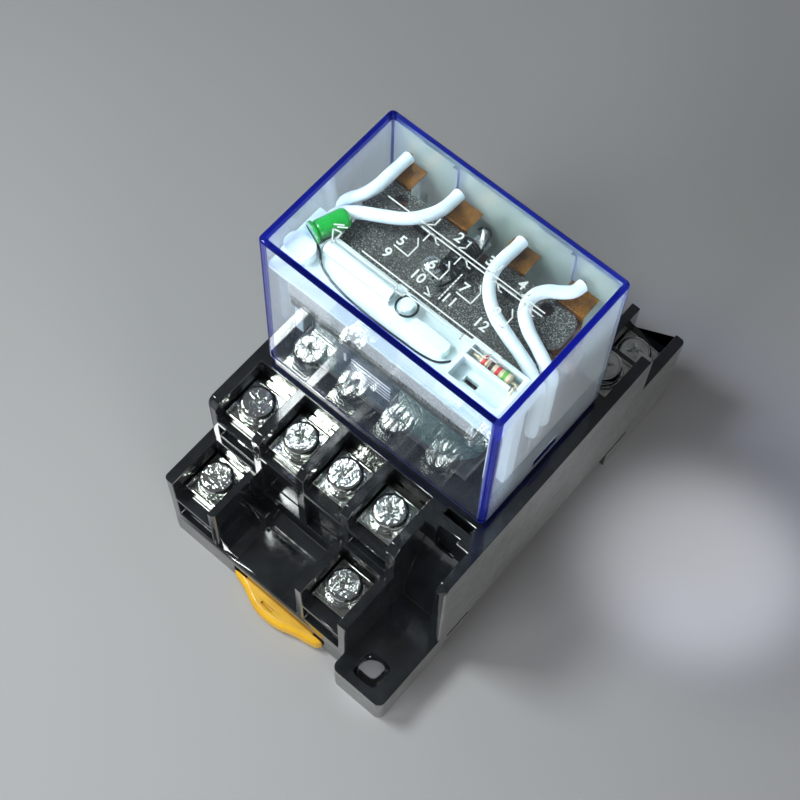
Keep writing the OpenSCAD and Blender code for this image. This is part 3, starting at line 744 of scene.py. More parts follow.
@dataclass
class Socket:
    """The black moulding with its mounting ears, its bottom cover and the rail clip."""

    edge: float = 0.14
    ear_top: float = 7.5
    ear_recess: float = 4.7
    ear_recess_depth: float = 1.6
    ear_recess_corner: float = 1.3
    ear_hole_inset: tuple[float, float] = (4.9, 3.8)
    slab_end: float = 34.6
    # height and depth of the faces on the sides and ends that get the paler grey of painted light
    painted_light_top: float = 5.4
    painted_light_depth: float = 0.35
    clip_edge: float = 0.25
    tab_height: float = 3.3
    tab_edge: float = 0.8
    tab_root: float = -35.56
    old_tab_root: float = -35.5
    old_tab_height: float = 2.05
    bridge_half: float = 6.9
    bridge_reach: tuple[float, float] = (-35.9, -35.2)
    bridge_heights: tuple[float, float] = (0.3, 1.9)
    dimple_width: tuple[float, float] = (-2.4, 0.2)
    dimple_reach: tuple[float, float] = (-37.1, -36.5)
    dimple_depth: float = 0.5
    wave: tuple[tuple[float, float], ...] = (
        (-9.3, -34), (-9.3, -35.56), (-9.2, -35.9), (-7.6, -36.25), (-6.0, -36.75), (-4.4, -37.5),
        (-3.0, -38.05), (-1.6, -38.27), (0.6, -38.27), (2.2, -38.0), (3.8, -37.45), (5.4, -37.0),
        (7.0, -36.75), (8.4, -36.4), (9.2, -35.9), (9.3, -35.56), (9.3, -34))

    def build(self) -> list[Object]:
        """Builds the pieces and returns them."""
        return [self.moulding(), self.bottom_cover(), self.rail_clip()]

    def moulding(self) -> Object:
        """The moulding: a square sinking over each ear hole, and on its sides and ends a matt skin painted
        paler grey to stand in for the light on them.

        Returns:
            The moulding.
        """
        low, high = low_high("socket_body")
        body = from_frame("socket_body", "socket_moulding", 0)
        half = self.ear_recess / 2
        for side in (1, -1):
            x = side * (high.x - self.ear_hole_inset[0])
            y = side * (low.y + self.ear_hole_inset[1])
            tool = block("sinking", (x - half, y - half, self.ear_top - self.ear_recess_depth),
                         (x + half, y + half, self.ear_top + 1))
            soften(tool, self.ear_recess_corner, 4)
            cut(body, tool)
        soften(body, self.edge, least=LEAST_EDGE * self.edge)
        for finish in (Finishes.BLACK, Finishes.SIDE):
            body.data.materials.append(finish.value.material())
        pick_faces(body, lambda centre, normal: abs(normal.y) > 0.9 and abs(centre.y) > self.slab_end)
        bpy.ops.mesh.bisect(plane_co=(0, 0, self.painted_light_top * MM), plane_no=(0, 0, 1))
        done(body)
        # painted light: the side faces, and the slab's end faces below the cut, get the paler grey that
        # stands in for light falling on them
        for face in body.data.polygons:
            c, n = face.center / MM, face.normal
            side = abs(c.x) > high.x - self.painted_light_depth and abs(n.x) > 0.75
            end = abs(c.y) > self.slab_end and abs(n.y) > 0.6 and c.z < self.painted_light_top
            face.material_index = int(side or end)
        return dress(body, Finishes.BLACK, "socket", "socket_body")

    def bottom_cover(self) -> Object:
        """The flat cover under the contact cavity."""
        return rounded_copy("contact_cover", "bottom_cover", Finishes.BLACK, "socket", 0.2)

    def rail_clip(self) -> Object:
        """The sprung clip with a wavy pull tab in place of its square one.

        Returns:
            The clip.
        """
        low, high = low_high("din_clip")
        clip = from_frame("din_clip", "rail_clip", 0)
        cut(clip, block("old_tab", (low.x - 1, low.y - 1, low.z - 1),
                        (high.x + 1, self.old_tab_root, low.z + self.old_tab_height)))
        middle, top = (low.x + high.x) / 2, low.z + self.tab_height
        tab = plate("tab", [(middle + x, y) for x, y in self.wave], low.z, top)
        soften(tab, self.tab_edge, 4, 40)
        cut(tab, block("inside", (low.x - 4, self.tab_root, low.z - 1), (high.x + 4, -33, low.z + 5)))
        (y0, y1), (z0, z1) = self.bridge_reach, self.bridge_heights
        fuse(tab, block("bridge", (middle - self.bridge_half, y0, low.z + z0),
                        (middle + self.bridge_half, y1, low.z + z1)))
        (x0, x1), (y0, y1) = self.dimple_width, self.dimple_reach
        dimple = block("driver_dimple", (middle + x0, y0, top - self.dimple_depth),
                       (middle + x1, y1, top + 1))
        cut(tab, soften(dimple, 0.25, 2))
        soften(clip, self.clip_edge, 3, least=1.0)
        fuse(clip, tab)
        return dress(clip, Finishes.YELLOW, "rail_clip", "din_clip")


class Row(Enum):
    """The four rows of terminal screws, by the name that their nodes and bodies start with."""

    FRONT_UPPER = "front_upper"
    FRONT_LOWER = "front_lower"
    BACK_UPPER = "back_upper"
    BACK_LOWER = "back_lower"


@dataclass
class Terminals:
    """Terminal strips, clamp plates and pan-head screws."""

    pitch: float = 8.7
    head_radius: float = 2.75
    head_height: float = 2.0
    washer_radius: float = 3.1
    washer_height: float = 0.5
    shank_radius: float = 1.42
    length: float = 8.0
    cross_reach: float = 1.65
    cross_width: float = 0.62
    cross_depth: float = 1.25
    cross_turns: tuple[float, float] = (40.0, 130.0)
    cross_taper: Point = (0.55, 0.5, 1.0)
    heart_radius: float = 0.62
    heart_depth: float = 0.15
    crown_inset: float = 0.45
    crown_edge: float = 0.62
    first_turn: float = 17.0
    turn_step: float = 53.0

    def build(self) -> list[Object]:
        """Builds the pieces and returns them."""
        pieces = [rounded_copy(f"{kind}_strips", f"{kind}_terminal_strips", Finishes.NICKEL, "socket", 0.08)
                  for kind in KINDS]
        pattern = self.screw()
        for row in Row:
            body = f"{row.value}_row"
            pieces.append(rounded_copy(f"{row.value}_clamps", f"{row.value}_clamp_plates", Finishes.NICKEL,
                                       body, 0.09))
            pieces.append(self.screw_row(pattern, row, body))
        bpy.data.objects.remove(pattern)
        return pieces

    def screw(self) -> Object:
        """One screw with its washer, standing at the origin with the washer's underside at height 0.

        Returns:
            The screw.
        """
        top = self.washer_height + self.head_height
        head = rod("head", (0, 0, self.washer_height), (0, 0, top), self.head_radius, 48)
        pick_faces(head, lambda centre, normal: normal.z > 0.9)
        bpy.ops.mesh.inset(thickness=self.crown_inset * MM)
        done(head)
        soften(head, self.crown_edge, 5, 40)
        arms = [block("arm", (-self.cross_reach, -self.cross_width / 2, top - self.cross_depth),
                      (self.cross_reach, self.cross_width / 2, top + 1)) for _ in range(2)]
        for arm, turn in zip(arms, self.cross_turns):
            pick_faces(arm, lambda centre, normal: normal.z < -0.9)
            bpy.ops.transform.resize(value=self.cross_taper)
            done(arm)
            arm.rotation_euler.z = math.radians(turn)
            settled(arm, "arm")
        heart = rod("heart", (0, 0, top - self.cross_depth - self.heart_depth), (0, 0, top + 1),
                    self.heart_radius, 4)
        cut(head, *arms, heart)
        soften(head, 0.05, 2, 35)
        washer = rod("washer", (0, 0, 0), (0, 0, self.washer_height), self.washer_radius, 48)
        soften(washer, 0.14, 3)
        shank = rod("shank", (0, 0, self.washer_height - self.length), (0, 0, 0.1), self.shank_radius, 24)
        soften(shank, 0.3, 2)
        return join("screw", [head, washer, shank])

    def screw_row(self, pattern: Object, row: Row, body: str) -> Object:
        """Copies the screw along one row.

        Args:
            pattern: The screw to copy.
            row: The row.
            body: The body the row moves with.

        Returns:
            The row's screws as one piece.
        """
        low, high = low_high(f"{row.value}_screws")
        first = low.x + self.washer_radius
        last = high.x - self.washer_radius
        steps = round((last - first) / self.pitch)
        places = [first + k * self.pitch for k in range(steps + 1)]
        if row is Row.FRONT_LOWER:
            places = [first, last]
        seat = high.z - self.washer_height - self.head_height
        middle = (low.y + high.y) / 2
        screws = []
        for k, x in enumerate(places):
            screw = twin_of(pattern)
            screw.rotation_euler.z = math.radians(self.first_turn + self.turn_step * k)
            screw.location = Vector((x, middle, seat)) * MM
            screws.append(settled(screw, "screw"))
        return dress(join(f"{row.value}_terminal_screws", screws), Finishes.SCREW, body,
                     f"{row.value}_screws")


@dataclass
class Marks:
    """Collects flat printed strokes and numbers between two heights."""

    low: float
    high: float
    width: float = 0.2
    size: float = 2.1
    bold: float = 0.04
    parts: list[Object] = field(default_factory=list)

    def line(self, *points: tuple[float, float]) -> None:
        """Adds a stroke of straight runs.

        Args:
            points: Its corners in millimetres.
        """
        for (x0, y0), (x1, y1) in zip(points, points[1:]):
            a, b = Vector((x0, y0, 0)), Vector((x1, y1, 0))
            along = (b - a).normalized() * self.width / 2
            across = Vector((-along.y, along.x, 0))
            corners = [a - along + across, a - along - across, b + along - across, b + along + across]
            self.parts.append(plate("stroke", [(c.x, c.y) for c in corners], self.low, self.high))

    def number(self, text: str, middle: tuple[float, float]) -> None:
        """Adds a terminal number.

        Args:
            text: The number.
            middle: Its centre in millimetres.
        """
        bpy.ops.object.text_add(location=(middle[0] * MM, (middle[1] - self.size * 0.35) * MM,
                                          (self.low + self.high) / 2 * MM))
        letters = bpy.context.object
        letters.data.body = text
        letters.data.size = self.size * MM
        letters.data.align_x = "CENTER"
        letters.data.extrude = (self.high - self.low) / 2 * MM
        letters.data.offset = self.bold * MM
        work_on(letters)
        bpy.ops.object.convert(target="MESH")
        self.parts.append(settled(bpy.context.object, "number"))

    def piece(self, name: str) -> Object:
        """Joins all marks into one piece and returns it."""
        return join(name, self.parts)


@dataclass
class Diagram:
    """The wiring diagram printed on top of the cover, as strokes in millimetres."""

    top: float
    skin: float
    first_riser: float = -3.9
    riser_pitch: float = 5.27
    numbers: tuple[tuple[str, str, str], ...] = (
        ("5", "9", "1"), ("6", "10", "2"), ("7", "11", "3"), ("8", "12", "4"))
    number_places: tuple[tuple[float, float], ...] = ((-2.1, -1.3), (-2.4, -3.9), (-2.0, 4.0))
    contact: tuple[Stroke, ...] = (
        ((-2.4, -2.5), (0, -2.6), (0, -0.6)),
        ((0, -0.6), (-0.7, 0.3)),
        ((0, 0.5), (0, 2.0)),
        ((0.7, 2.0), (1.5, 1.3), (1.9, 1.3)),
        ((-1.3, 2.6), (-0.4, 3.3), (-0.4, 4.4)))
    rails: tuple[Stroke, ...] = (
        ((-11.6, 2.6), (14.6, 2.6)),
        ((-5.4, 2.0), (14.6, 2.0)),
        ((-8.8, -5.9), (13.2, -5.9)),
        ((-12.6, -6.9), (-2.0, -6.9)),
        ((-2.0, -7.5), (-0.6, -7.5), (-0.6, -6.4), (-2.0, -6.4), (-2.0, -7.5)),
        ((-0.6, -6.9), (8.8, -6.9)),
        ((8.8, -7.3), (13.2, -7.3), (13.2, -6.5), (8.8, -6.5), (8.8, -7.3)),
        ((13.2, -6.9), (14.6, -6.9), (14.6, -5.9), (13.2, -5.9)),
        ((-13.9, -5.9), (-12.6, -5.6), (-12.6, -7.6), (-13.9, -5.9)),
        ((-14.2, -5.3), (-13.2, -4.6)),
        ((-13.6, -5.3), (-12.6, -4.6)),
        ((0.9, -4.4), (2.0, -5.2), (1.2, -5.3)))
    link_start: tuple[float, float] = (3.1, -4.7)
    dash: float = 0.22
    dash_pitch: float = 0.55
    dashes: int = 9

    def build(self) -> Object:
        """Builds the diagram.

        Returns:
            All its marks as one piece.
        """
        marks = Marks(self.top - self.skin + 0.01, self.top - 0.005)
        for pole, numbers in enumerate(self.numbers):
            riser = self.first_riser + self.riser_pitch * pole
            for number, (x, y) in zip(numbers, self.number_places):
                marks.number(number, (riser + x, y))
            for stroke in self.contact:
                marks.line(*((riser + x, y) for x, y in stroke))
        for stroke in self.rails:
            marks.line(*stroke)
        x, start = self.link_start
        for k in range(self.dashes):
            y = start + self.dash_pitch * k
            marks.line((x, y), (x, y + self.dash))
        return dress(marks.piece("wiring_diagram"), Finishes.PRINT, "relay")


@dataclass
class Cover:
    """The clear drafted cover with its ribs, snap windows and printed wiring diagram."""

    draft: float = 0.2
    wall: float = 1.0
    # width of the band round the top that gets the painted blue edge glow
    rim: float = 0.85
    corner: float = 0.8
    inner_corner: float = 0.45
    top_edge: float = 0.35
    skin: float = 0.05
    rib_places: tuple[float, float] = (-8.0, 12.0)
    rib_foot: float = 48.0
    rib_half: float = 0.4
    rib_depth: float = 0.6
    pad_reach: float = 6.0
    pad_depth: float = 0.15
    root: float = 0.7
    rib_gap: float = 0.5
    window: tuple[float, float, float, float] = (-2.6, 3.0, 34.2, 36.2)
    window_reach: float = 1.6
    sliver: float = 0.004
    flat: float = 0.05
    front_band: float = 2.0
    back_band: float = 3.0
    finishes: tuple[Finishes, ...] = (Finishes.CLEAR, Finishes.CLEAR_WALL, Finishes.CLEAR_EDGE_PAINTED_GLOW,
                                      Finishes.CLEAR_FRONT, Finishes.CLEAR_BACK)

    def build(self) -> list[Object]:
        """Builds the pieces and returns them."""
        return [self.shell(), self.diagram()]

    def shell(self) -> Object:
        """The shell: drafted outside, hollow inside, with rims painted blue to stand in for the glow of light
        led along the clear walls.

        Returns:
            The shell.
        """
        low, high = low_high("cover")
        top = high.z - self.skin
        far = Vector((high.x, high.y, top))
        shell = self.drafted("cover_shell", low, far, self.corner, self.top_edge)
        wall = Vector((self.wall, self.wall, self.wall))
        cut(shell, self.drafted("hollow", low + Vector((self.wall, self.wall, -1)), far - wall,
                                self.inner_corner))
        inside = high.y - self.wall - self.draft
        for x in self.rib_places:
            rib = block("rib", (x - self.rib_half, inside - self.rib_depth, self.rib_foot),
                        (x + self.rib_half, inside + self.root, top - self.rib_gap))
            pad = block("pad", (x - self.pad_reach, inside - self.pad_depth, self.rib_foot),
                        (x - self.rib_half / 2, inside + self.root, top - self.rib_gap))
            fuse(shell, rib, pad)
        y0, y1, z0, z1 = self.window
        for side in (-1, 1):
            x = side * high.x
            cut(shell, block("window", (x - self.window_reach, y0, z0), (x + self.window_reach, y1, z1)))
        pick_faces(shell, lambda centre, normal: True)
        bpy.ops.mesh.dissolve_degenerate(threshold=self.sliver * MM)
        bpy.ops.mesh.dissolve_limited(angle_limit=math.radians(self.flat))
        done(shell)
        bpy.ops.object.shade_flat()
        self.paint_edge_glow(shell, low, top, high)
        return dress(shell, Finishes.CLEAR, "relay", "cover")

    def drafted(self, name: str, low: Vector, high: Vector, corner: float, crown: float = 0.0) -> Object:
        """A block that narrows towards its top, with round corners.

        Args:
            name: The piece's name.
            low: Lowest corner in millimetres.
            high: Highest corner in millimetres.
            corner: Radius of its upright corners in millimetres.
            crown: Width of the rounding round its top in millimetres, or 0 for none.

        Returns:
            The block.
        """
        piece = block(name, low, high)
        pick_faces(piece, lambda centre, normal: normal.z > 0.9)
        half = (high - low) / 2
        bpy.ops.transform.resize(value=(1 - self.draft / half.x, 1 - self.draft / half.y, 1))
        done(piece)
        work_on(piece)
        bpy.context.tool_settings.mesh_select_mode = (False, True, False)
        for edge in piece.data.edges:
            a, b = (piece.data.vertices[i].co for i in edge.vertices)
            edge.select = abs(a.z - b.z) > MM
        for face in piece.data.polygons:
            face.select = False
        bpy.ops.object.mode_set(mode="EDIT")
        bpy.ops.mesh.bevel(offset=corner * MM, segments=5, affect="EDGES")
        done(piece)
        if crown:
            pick_faces(piece, lambda centre, normal: normal.z > 0.9)
            bpy.ops.mesh.bevel(offset=crown * MM, segments=3, affect="EDGES")
            done(piece)
        return piece

    def paint_edge_glow(self, shell: Object, low: Vector, top: float, high: Vector) -> None:
        """Puts the painted blue edge glow on rims, corners and the foot, and a wall finish on each side.

        Args:
            shell: The cover.
            low: Lowest corner of the cover.
            top: Height of its top face.
            high: Highest corner of the cover.
        """
        for finish in self.finishes:
            shell.data.materials.append(finish.value.material())
        near = self.draft + self.corner
        inner = Vector((high.x - self.draft - self.rim, high.y - self.draft - self.rim, 0))
        for way in (Vector((1, 0, 0)), Vector((0, 1, 0))):
            for side in (-1, 1):
                pick_faces(shell, lambda centre, normal: normal.z > 0.99 and centre.z > top - 0.01)
                bpy.ops.mesh.bisect(plane_co=way * way.dot(inner) * side * MM, plane_no=way)
                done(shell)
        for face in shell.data.polygons:
            c, n = face.center / MM, face.normal
            corner = abs(c.x) > high.x - near and abs(c.y) > high.y - near and abs(n.z) < 0.5
            outer = abs(c.x) > inner.x or abs(c.y) > inner.y
            rim = c.z > top - self.top_edge - 0.05 and outer
            foot = c.z < low.z + 0.05
            # painted light: the rims, rounded corners and foot get the blue finish that stands in for the
            # glow of light led along the walls
            if (corner and max(abs(n.x), abs(n.y)) < 0.995) or rim or foot:
                finish = Finishes.CLEAR_EDGE_PAINTED_GLOW
            elif abs(n.z) >= 0.5:
                finish = Finishes.CLEAR
            elif abs(n.y) > 0.9 and c.y < low.y + self.front_band:
                finish = Finishes.CLEAR_FRONT
            elif abs(n.y) > 0.9 and c.y > high.y - self.back_band:
                finish = Finishes.CLEAR_BACK
            else:
                finish = Finishes.CLEAR_WALL
            face.material_index = self.finishes.index(finish)

    def diagram(self) -> Object:
        """The printed wiring diagram: four changeover contacts, their numbers, and the coil circuit."""
        return Diagram(low_high("cover")[1].z, self.skin).build()


@dataclass
class CoilUnit:
    """Yoke, core, bobbin, winding, tape and label."""

    plain: tuple[tuple[str, Finishes, float], ...] = (
        ("yoke", Finishes.IRON, 0.12), ("core", Finishes.IRON, 0.12), ("bobbin", Finishes.BOBBIN, 0.1),
        ("winding", Finishes.COPPER, 0.2), ("coil_tape", Finishes.TAPE, 0.05))
    first_line: float = 2.0
    rules: tuple[float, ...] = (0.32, 0.32, 0.14, 0.14, 0.14)
    rule_pitch: float = 0.95
    rule_ends: tuple[float, float] = (3.0, 1.4)
    ticks: int = 4
    tick_pitch: float = 0.6
    tick_place: float = 1.6
    tick_length: float = 0.4
    tick_width: float = 0.25
    ink_out: float = 0.03
    ink_in: float = 0.02

    def build(self) -> list[Object]:
        """Builds the pieces and returns them."""
        pieces = [rounded_copy(node, f"{node}_body", finish, "relay", width)
                  for node, finish, width in self.plain]
        return pieces + [self.label(), self.print()]

    def label(self) -> Object:
        """The plain label stuck on the coil tape."""
        return rounded_copy("coil_label", "coil_label_sheet", Finishes.LABEL, "relay", 0.04)

    def print(self) -> Object:
        """White rules and ticks printed on the label.

        Returns:
            All of them as one piece.
        """
        low, high = low_high("coil_label")
        front, back, first = low.y - self.ink_out, low.y + self.ink_in, high.z - self.first_line
        left, right = self.rule_ends
        parts = []
        for k, thick in enumerate(self.rules):
            z = first - self.rule_pitch * k
            parts.append(block("rule", (low.x + left, front, z), (high.x - right, back, z + thick)))
        for k in range(self.ticks):
            z = first - self.tick_pitch * k
            parts.append(block("tick", (low.x + self.tick_place, front, z),
                               (low.x + self.tick_place + self.tick_length, back, z + self.tick_width)))
        return dress(join("label_rules", parts), Finishes.PRINT, "relay")


@dataclass
class ArmatureUnit:
    """Armature plate with its rivet, the contact card, springs and contacts, and the return spring."""

    plates: tuple[tuple[str, str, Finishes, str, float, int], ...] = (
        ("armature", "armature_plate", Finishes.SPECKLED, "armature", 0.16, 3),
        ("hook_rivet", "rivet", Finishes.SCREW, "armature", 0.08, 2),
        ("contact_card", "card", Finishes.PHENOLIC, "armature", 0.1, 2),
        ("moving_springs", "leaf_springs", Finishes.BRONZE, "armature", 0.03, 1),
        ("moving_contacts", "moving_buttons", Finishes.SILVER, "armature", 0.12, 3),
        ("nc_contacts", "rest_buttons", Finishes.SILVER, "relay", 0.12, 3),
        ("no_contacts", "work_buttons", Finishes.SILVER, "relay", 0.12, 3))
    coil_radius: float = 1.45
    wire: float = 0.2
    turns: int = 12
    steps: int = 16
    loop_inset: float = 0.22
    front_loop: tuple[tuple[float, float], ...] = (
        (-0.9, 0.8), (-0.6, 0.15), (0.0, 0.0), (0.8, 0.3), (1.1, 1.1), (1.3, 1.8))
    back_loop: tuple[tuple[float, float], ...] = (
        (1.3, -2.4), (1.1, -1.4), (0.8, -0.5), (0.0, 0.0), (-0.7, -0.4), (-0.95, -1.0))
    loop_lengths: tuple[float, float] = (2.4, 3.1)

    def build(self) -> list[Object]:
        """Builds the pieces and returns them."""
        return [rounded_copy(*row) for row in self.plates] + [self.spring()]

    def spring(self) -> Object:
        """The close-wound return spring with a loop at each end.

        Returns:
            The spring.
        """
        low, high = low_high("return_spring")
        z = (low.z + high.z) / 2
        front, back = low.y + self.loop_inset, high.y - self.loop_inset
        start, end = front + self.loop_lengths[0], back - self.loop_lengths[1]
        count = self.steps * self.turns
        coil = []
        for k in range(count + 1):
            turn = 2 * math.pi * k / self.steps
            coil.append((self.coil_radius * math.cos(turn), start + (end - start) * k / count,
                         z + self.coil_radius * math.sin(turn)))
        lead_in = [(x, front + y, z) for x, y in self.front_loop]
        lead_out = [(x, back + y, z) for x, y in self.back_loop]
        strand = tube("spring_wire", lead_in + coil + lead_out, self.wire, sides=2)
        return dress(strand, Finishes.DARK_WIRE, "relay", "return_spring")


@dataclass
class Leads:
    """Four white sleeved leads from the moving springs, over the armature and down the sides."""

    radius: float = 0.95
    bore: float = 0.75
    mouth_depth: float = 1.25
    foot_depth: float = 2.95
    waist: float = 0.05
    routes: tuple[tuple[Point, ...], ...] = (
        ((-15.6, 11.5, 61.6), (-15.6, 9.6, 61.7), (-15.6, 7.6, 61.9), (-15.7, 4.6, 62.0), (-16.4, 2.6, 61.8),
         (-17.5, 1.5, 61.0), (-18.3, 1.0, 59.4), (-18.5, 0.9, 57.0), (-18.5, 0.9, 52.0), (-18.5, 0.9, 45.6)),
        ((-6.6, 11.5, 61.6), (-6.6, 10.0, 61.7), (-6.7, 8.2, 61.9), (-7.6, 5.8, 62.1), (-9.4, 3.6, 62.1),
         (-12.0, 1.9, 62.0), (-14.8, 0.4, 61.7), (-17.1, -0.7, 60.6), (-18.3, -1.2, 58.8),
         (-18.5, -1.3, 56.5), (-18.5, -1.3, 52.0), (-18.5, -1.3, 45.6)),
        ((4.4, 11.5, 61.6), (4.4, 10.0, 61.7), (4.3, 7.8, 61.9), (4.5, 5.2, 62.1), (5.7, 2.8, 62.1),
         (8.2, 0.6, 62.0), (11.6, -0.9, 62.0), (14.8, -1.9, 61.8), (17.0, -2.5, 60.9), (18.2, -2.8, 59.2),
         (18.5, -2.9, 56.8), (18.5, -2.9, 52.0), (18.5, -2.9, 45.6)),
        ((14.6, 11.5, 61.6), (14.3, 10.0, 61.7), (13.3, 8.8, 61.9), (11.6, 7.3, 62.1), (10.8, 5.4, 62.2),
         (11.3, 3.4, 62.1), (13.2, 1.6, 62.0), (15.8, 0.4, 61.6), (17.6, -0.2, 60.5), (18.4, -0.4, 58.6),
         (18.5, -0.5, 56.4), (18.5, -0.5, 52.0), (18.5, -0.5, 45.6)))

    def build(self) -> list[Object]:
        """Builds the four leads and returns them."""
        return [self.lead(k, route) for k, route in enumerate(self.routes)]

    def lead(self, number: int, route: tuple[Point, ...]) -> Object:
        """One sleeve with hollow ends.

        Args:
            number: The lead's number, from 0.
            route: Its middle line in millimetres.

        Returns:
            The sleeve.
        """
        radii = [1.0 - self.waist * (k % 3 == 1) for k in range(len(route))]
        sleeve = tube(f"lead_sleeve_{number + 1}", route, self.radius, radii=radii, sides=6)
        top, foot = Vector(route[0]), Vector(route[-1])
        mouth = rod("mouth", top + Vector((0, 1, 0)), top - Vector((0, self.mouth_depth, 0)), self.bore, 24)
        lower = rod("lower", foot - Vector((0, 0, 1)), foot + Vector((0, 0, self.foot_depth)), self.bore, 24)
        cut(sleeve, mouth, lower)
        return dress(sleeve, Finishes.SLEEVE, "relay", f"lead_{number + 1}")


@dataclass
class LampUnit:
    """White moulding with the lamp, its sleeve, the resistor and the bare wire between them."""

    lamp_foot: Point = (-17.2, -6.5, 62.4)
    lamp_turn: float = 20.0
    lamp_length: float = 5.6
    lens: tuple[float, float] = (1.5, 0.9)
    flange: tuple[float, float] = (1.7, 0.1)
    strip_outline: tuple[tuple[float, float], ...] = (
        (-15.7, 57.5), (16.1, 57.3), (16.1, 60.6), (-14.9, 60.8), (-15.7, 60.0))
    rings: tuple[tuple[float, float, Finishes], ...] = (
        (12.0, 0.93, Finishes.RED_BAND), (13.1, 0.78, Finishes.DARK_BAND),
        (14.2, 0.78, Finishes.RED_BAND), (15.3, 0.93, Finishes.GREEN_BAND))
    ring_axis: tuple[float, float] = (-6.05, 62.5)
    ring_width: float = 0.55
    wire_radius: float = 0.17
    wire_route: tuple[Point, ...] = (
        (-15.6, -7.2, 62.2), (-14.5, -7.9, 62.1), (-13.6, -8.8, 61.7), (-12.0, -9.5, 61.45),
        (-9.3, -10.1, 61.42), (-6.0, -10.4, 61.42), (-2.0, -10.5, 61.42), (2.0, -10.4, 61.42),
        (5.4, -10.2, 61.42), (7.4, -9.6, 61.42), (8.6, -8.4, 61.42))
    loop_middle: Point = (-0.5, -6.6, 62.6)
    loop_radius: float = 1.5
    loop_steps: int = 24

    def build(self) -> list[Object]:
        """Builds the pieces and returns them."""
        return [self.holder(), self.strip(), self.lamp(), self.sleeve(), self.resistor(), *self.bands(),
                self.wire()]

    def holder(self) -> Object:
        """The moulding across the front of the relay."""
        return rounded_copy("lamp_holder", "lamp_moulding", Finishes.WHITE, "relay", 0.16, 3)

    def strip(self) -> Object:
        """The zinc-plated strip along the moulding's apron.

        Returns:
            The strip.
        """
        strip = plate("zinc_strip", self.strip_outline, -0.05, 0.02)
        strip.rotation_euler.x = math.radians(90)
        strip.location.y = (low_high("lamp_holder")[0].y - 0.02) * MM
        soften(settled(strip, "zinc_strip"), 0.03, 2)
        return dress(strip, Finishes.ZINC, "relay")

    def lamp(self) -> Object:
        """The lamp: a round-nosed lens with a flanged foot.

        Returns:
            The lamp.
        """
        foot, turn = Vector(self.lamp_foot), math.radians(self.lamp_turn)
        along = Vector((math.sin(turn), math.cos(turn), 0))
        radius, nose = self.lens
        lens = rod("lamp_lens", foot + along * 0.3, foot + along * self.lamp_length, radius, 40)
        soften(lens, nose, 6, 50)
        radius, edge = self.flange
        flange = rod("lamp_flange", foot, foot + along * 0.5, radius, 40)
        soften(flange, edge, 2)
        return dress(join("lamp", [lens, flange]), Finishes.GREEN, "relay", "led")

    def sleeve(self) -> Object:
        """The white sleeve over the lamp's leg."""
        return rounded_copy("led_sleeve", "lamp_sleeve", Finishes.SLEEVE, "relay", 0.12, 3)

    def resistor(self) -> Object:
        """The resistor's waisted body with round ends and bent legs."""
        body = from_frame("resistor", "resistor_shape", 0)
        soften(body, 0.12, 3, 40)
        return dress(body, Finishes.TAN, "relay", "resistor")

    def bands(self) -> list[Object]:
        """The resistor's colour rings.

        Returns:
            The rings, from the lamp's side on.
        """
        y, z = self.ring_axis
        pieces = []
        for k, (x, radius, finish) in enumerate(self.rings):
            ring = rod(f"resistor_ring_{k + 1}", (x, y, z), (x + self.ring_width, y, z), radius, 32)
            soften(ring, 0.04, 2)
            pieces.append(dress(ring, finish, "relay"))
        return pieces

    def wire(self) -> Object:
        """The bare wire from the lamp to the resistor and the loop round the peg.

        Returns:
            The wire.
        """
        strand = tube("strand", self.wire_route, self.wire_radius, sides=2)
        x, y, z = self.loop_middle
        turns = [2 * math.pi * k / self.loop_steps for k in range(self.loop_steps + 1)]
        ring = [(x + self.loop_radius * math.cos(a), y + self.loop_radius * math.sin(a), z) for a in turns]
        loop = tube("loop", ring, self.wire_radius, smooth=False, sides=2)
        return dress(join("lamp_wire", [strand, loop]), Finishes.DARK_WIRE, "relay", "lamp_lead")


@dataclass
class RelayBase:
    """Black relay base with its plug-in blades."""

    def build(self) -> list[Object]:
        """Builds the pieces and returns them."""
        base = rounded_copy("relay_base", "plug_base", Finishes.BASE, "relay", 0.12)
        return [base] + [rounded_copy(f"{kind}_blades", f"{kind}_plug_blades", Finishes.NICKEL, "relay", 0.06)
                         for kind in KINDS]


# ---------------------------------------------------------------- studio


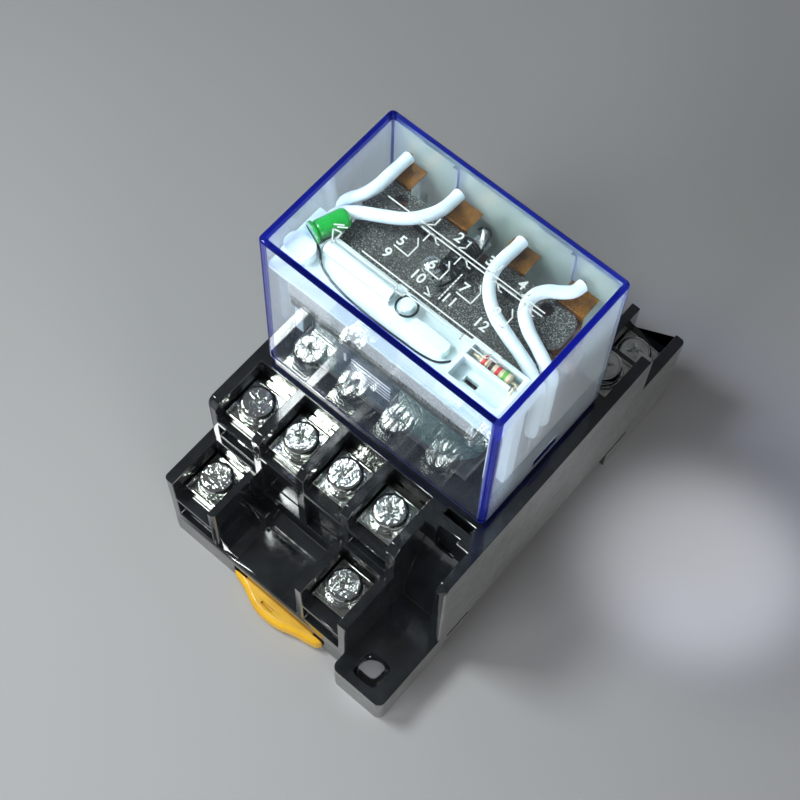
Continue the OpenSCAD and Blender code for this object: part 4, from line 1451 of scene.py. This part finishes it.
@dataclass
class Studio:
    """Pale floor, soft lights and the camera."""

    azimuth: float = 38.0
    elevation: float = 65.5
    roll: float = 2.9
    aim: Point = (0.3, -8.1, 37.2)
    distance: float = 240.0
    lens: float = 75.0
    floor_size: float = 4.0
    floor_tones: tuple[Colour, Colour] = ((0.34, 0.34, 0.348), (0.365, 0.365, 0.373))
    sky_tone: Colour = (0.86, 0.88, 0.92)
    sky_strength: float = 0.12
    spot_tone: Colour = (0.92, 0.95, 1.0)

    def build(self) -> None:
        """Builds the floor, the lights, the sky and the camera."""
        bpy.ops.mesh.primitive_plane_add(size=self.floor_size, location=(0, 0, 0))
        floor = bpy.context.object
        floor.name = "floor"
        floor.data.materials.append(self.floor_paint())
        self.lamp("key", (-0.115, -0.075, 0.245), 0.07, 0.47, (0.93, 1.0, 0.98))
        self.lamp("side", (0.33, -0.2, 0.11), 0.2, 0.8, (1.0, 0.99, 0.97))
        self.lamp("front", (-0.08, -0.37, 0.21), 0.22, 1.05, (0.95, 0.98, 1.0))
        self.spot("pool", (0.17, 0.07, 0.25), (0.0455, 0.015, 0), 8.5, 3.0)
        self.spot("ear", (0.0935, -0.131, 0.273), (0.0176, -0.0339, 0), 1.9, 2.6)
        world = bpy.data.worlds.new("sky")
        bpy.context.scene.world = world
        world.use_nodes = True
        sky = world.node_tree.nodes["Background"]
        sky.inputs["Color"].default_value = (*self.sky_tone, 1)
        sky.inputs["Strength"].default_value = self.sky_strength
        bpy.context.scene.view_settings.view_transform = "Standard"
        self.camera()

    def floor_paint(self) -> bpy.types.Material:
        """Pale matt floor paint."""
        s = Shading("floor_paint")
        tone = s.span(s.noise(6.0, 2.0), 0, 1)
        return s.finish(s.principled({"Base Color": s.blend(tone, *self.floor_tones), "Roughness": 0.6}))

    def lamp(self, name: str, place: Point, size: float, power: float, colour: Colour) -> None:
        """Adds a square soft light that faces the relay.

        Args:
            name: The light's name.
            place: Its place in metres.
            size: Its side in metres.
            power: Its power in watts.
            colour: Its colour.
        """
        light = bpy.data.lights.new(name, "AREA")
        light.shape = "SQUARE"
        light.size = size
        light.energy = power
        light.color = colour
        holder = bpy.data.objects.new(name, light)
        bpy.context.collection.objects.link(holder)
        holder.location = place
        holder.rotation_mode = "QUATERNION"
        holder.rotation_quaternion = (Vector(place) - Vector(self.aim) * MM).to_track_quat("Z", "Y")
        holder.visible_glossy = name != "front"

    def spot(self, name: str, place: Point, target: Point, angle: float, power: float) -> None:
        """Adds a narrow soft-edged light.

        Args:
            name: The light's name.
            place: Its place in metres.
            target: The point it faces, in metres.
            angle: Width of its cone in degrees.
            power: Its power in watts.
        """
        light = bpy.data.lights.new(name, "SPOT")
        light.spot_size = math.radians(angle)
        light.spot_blend = 1.0
        light.shadow_soft_size = 0.004
        light.energy = power
        light.color = self.spot_tone
        holder = bpy.data.objects.new(name, light)
        bpy.context.collection.objects.link(holder)
        holder.location = place
        holder.rotation_mode = "QUATERNION"
        holder.rotation_quaternion = (Vector(place) - Vector(target)).to_track_quat("Z", "Y")

    def camera(self) -> None:
        """Sets the camera at the viewing angle."""
        turn, rise, lean = (math.radians(a) for a in (self.azimuth, self.elevation, self.roll))
        back = Vector((math.sin(turn) * math.cos(rise), -math.cos(turn) * math.cos(rise), math.sin(rise)))
        right = Vector((0, 0, 1)).cross(back).normalized()
        up = back.cross(right)
        side = right * math.cos(lean) + up * math.sin(lean)
        head = up * math.cos(lean) - right * math.sin(lean)
        data = bpy.data.cameras.new("camera")
        data.lens = self.lens
        data.clip_start = 0.01
        camera = bpy.data.objects.new("camera", data)
        bpy.context.collection.objects.link(camera)
        camera.matrix_world = Matrix.LocRotScale(
            (Vector(self.aim) + back * self.distance) * MM,
            Matrix((side, head, back)).transposed(), None)
        bpy.context.scene.camera = camera


def main() -> None:
    """Builds every sub-assembly in order, then the studio."""
    logging.basicConfig(level=logging.INFO, format="%(name)s: %(message)s")
    units = (Socket(), Terminals(), RelayBase(), CoilUnit(), ArmatureUnit(), Leads(), LampUnit(), Cover())
    for unit in units:
        for piece in unit.build():
            log.info("%s: %s, %d faces", type(unit).__name__, piece.name, len(piece.data.polygons))
    Studio().build()


if __name__ == "__main__":
    main()
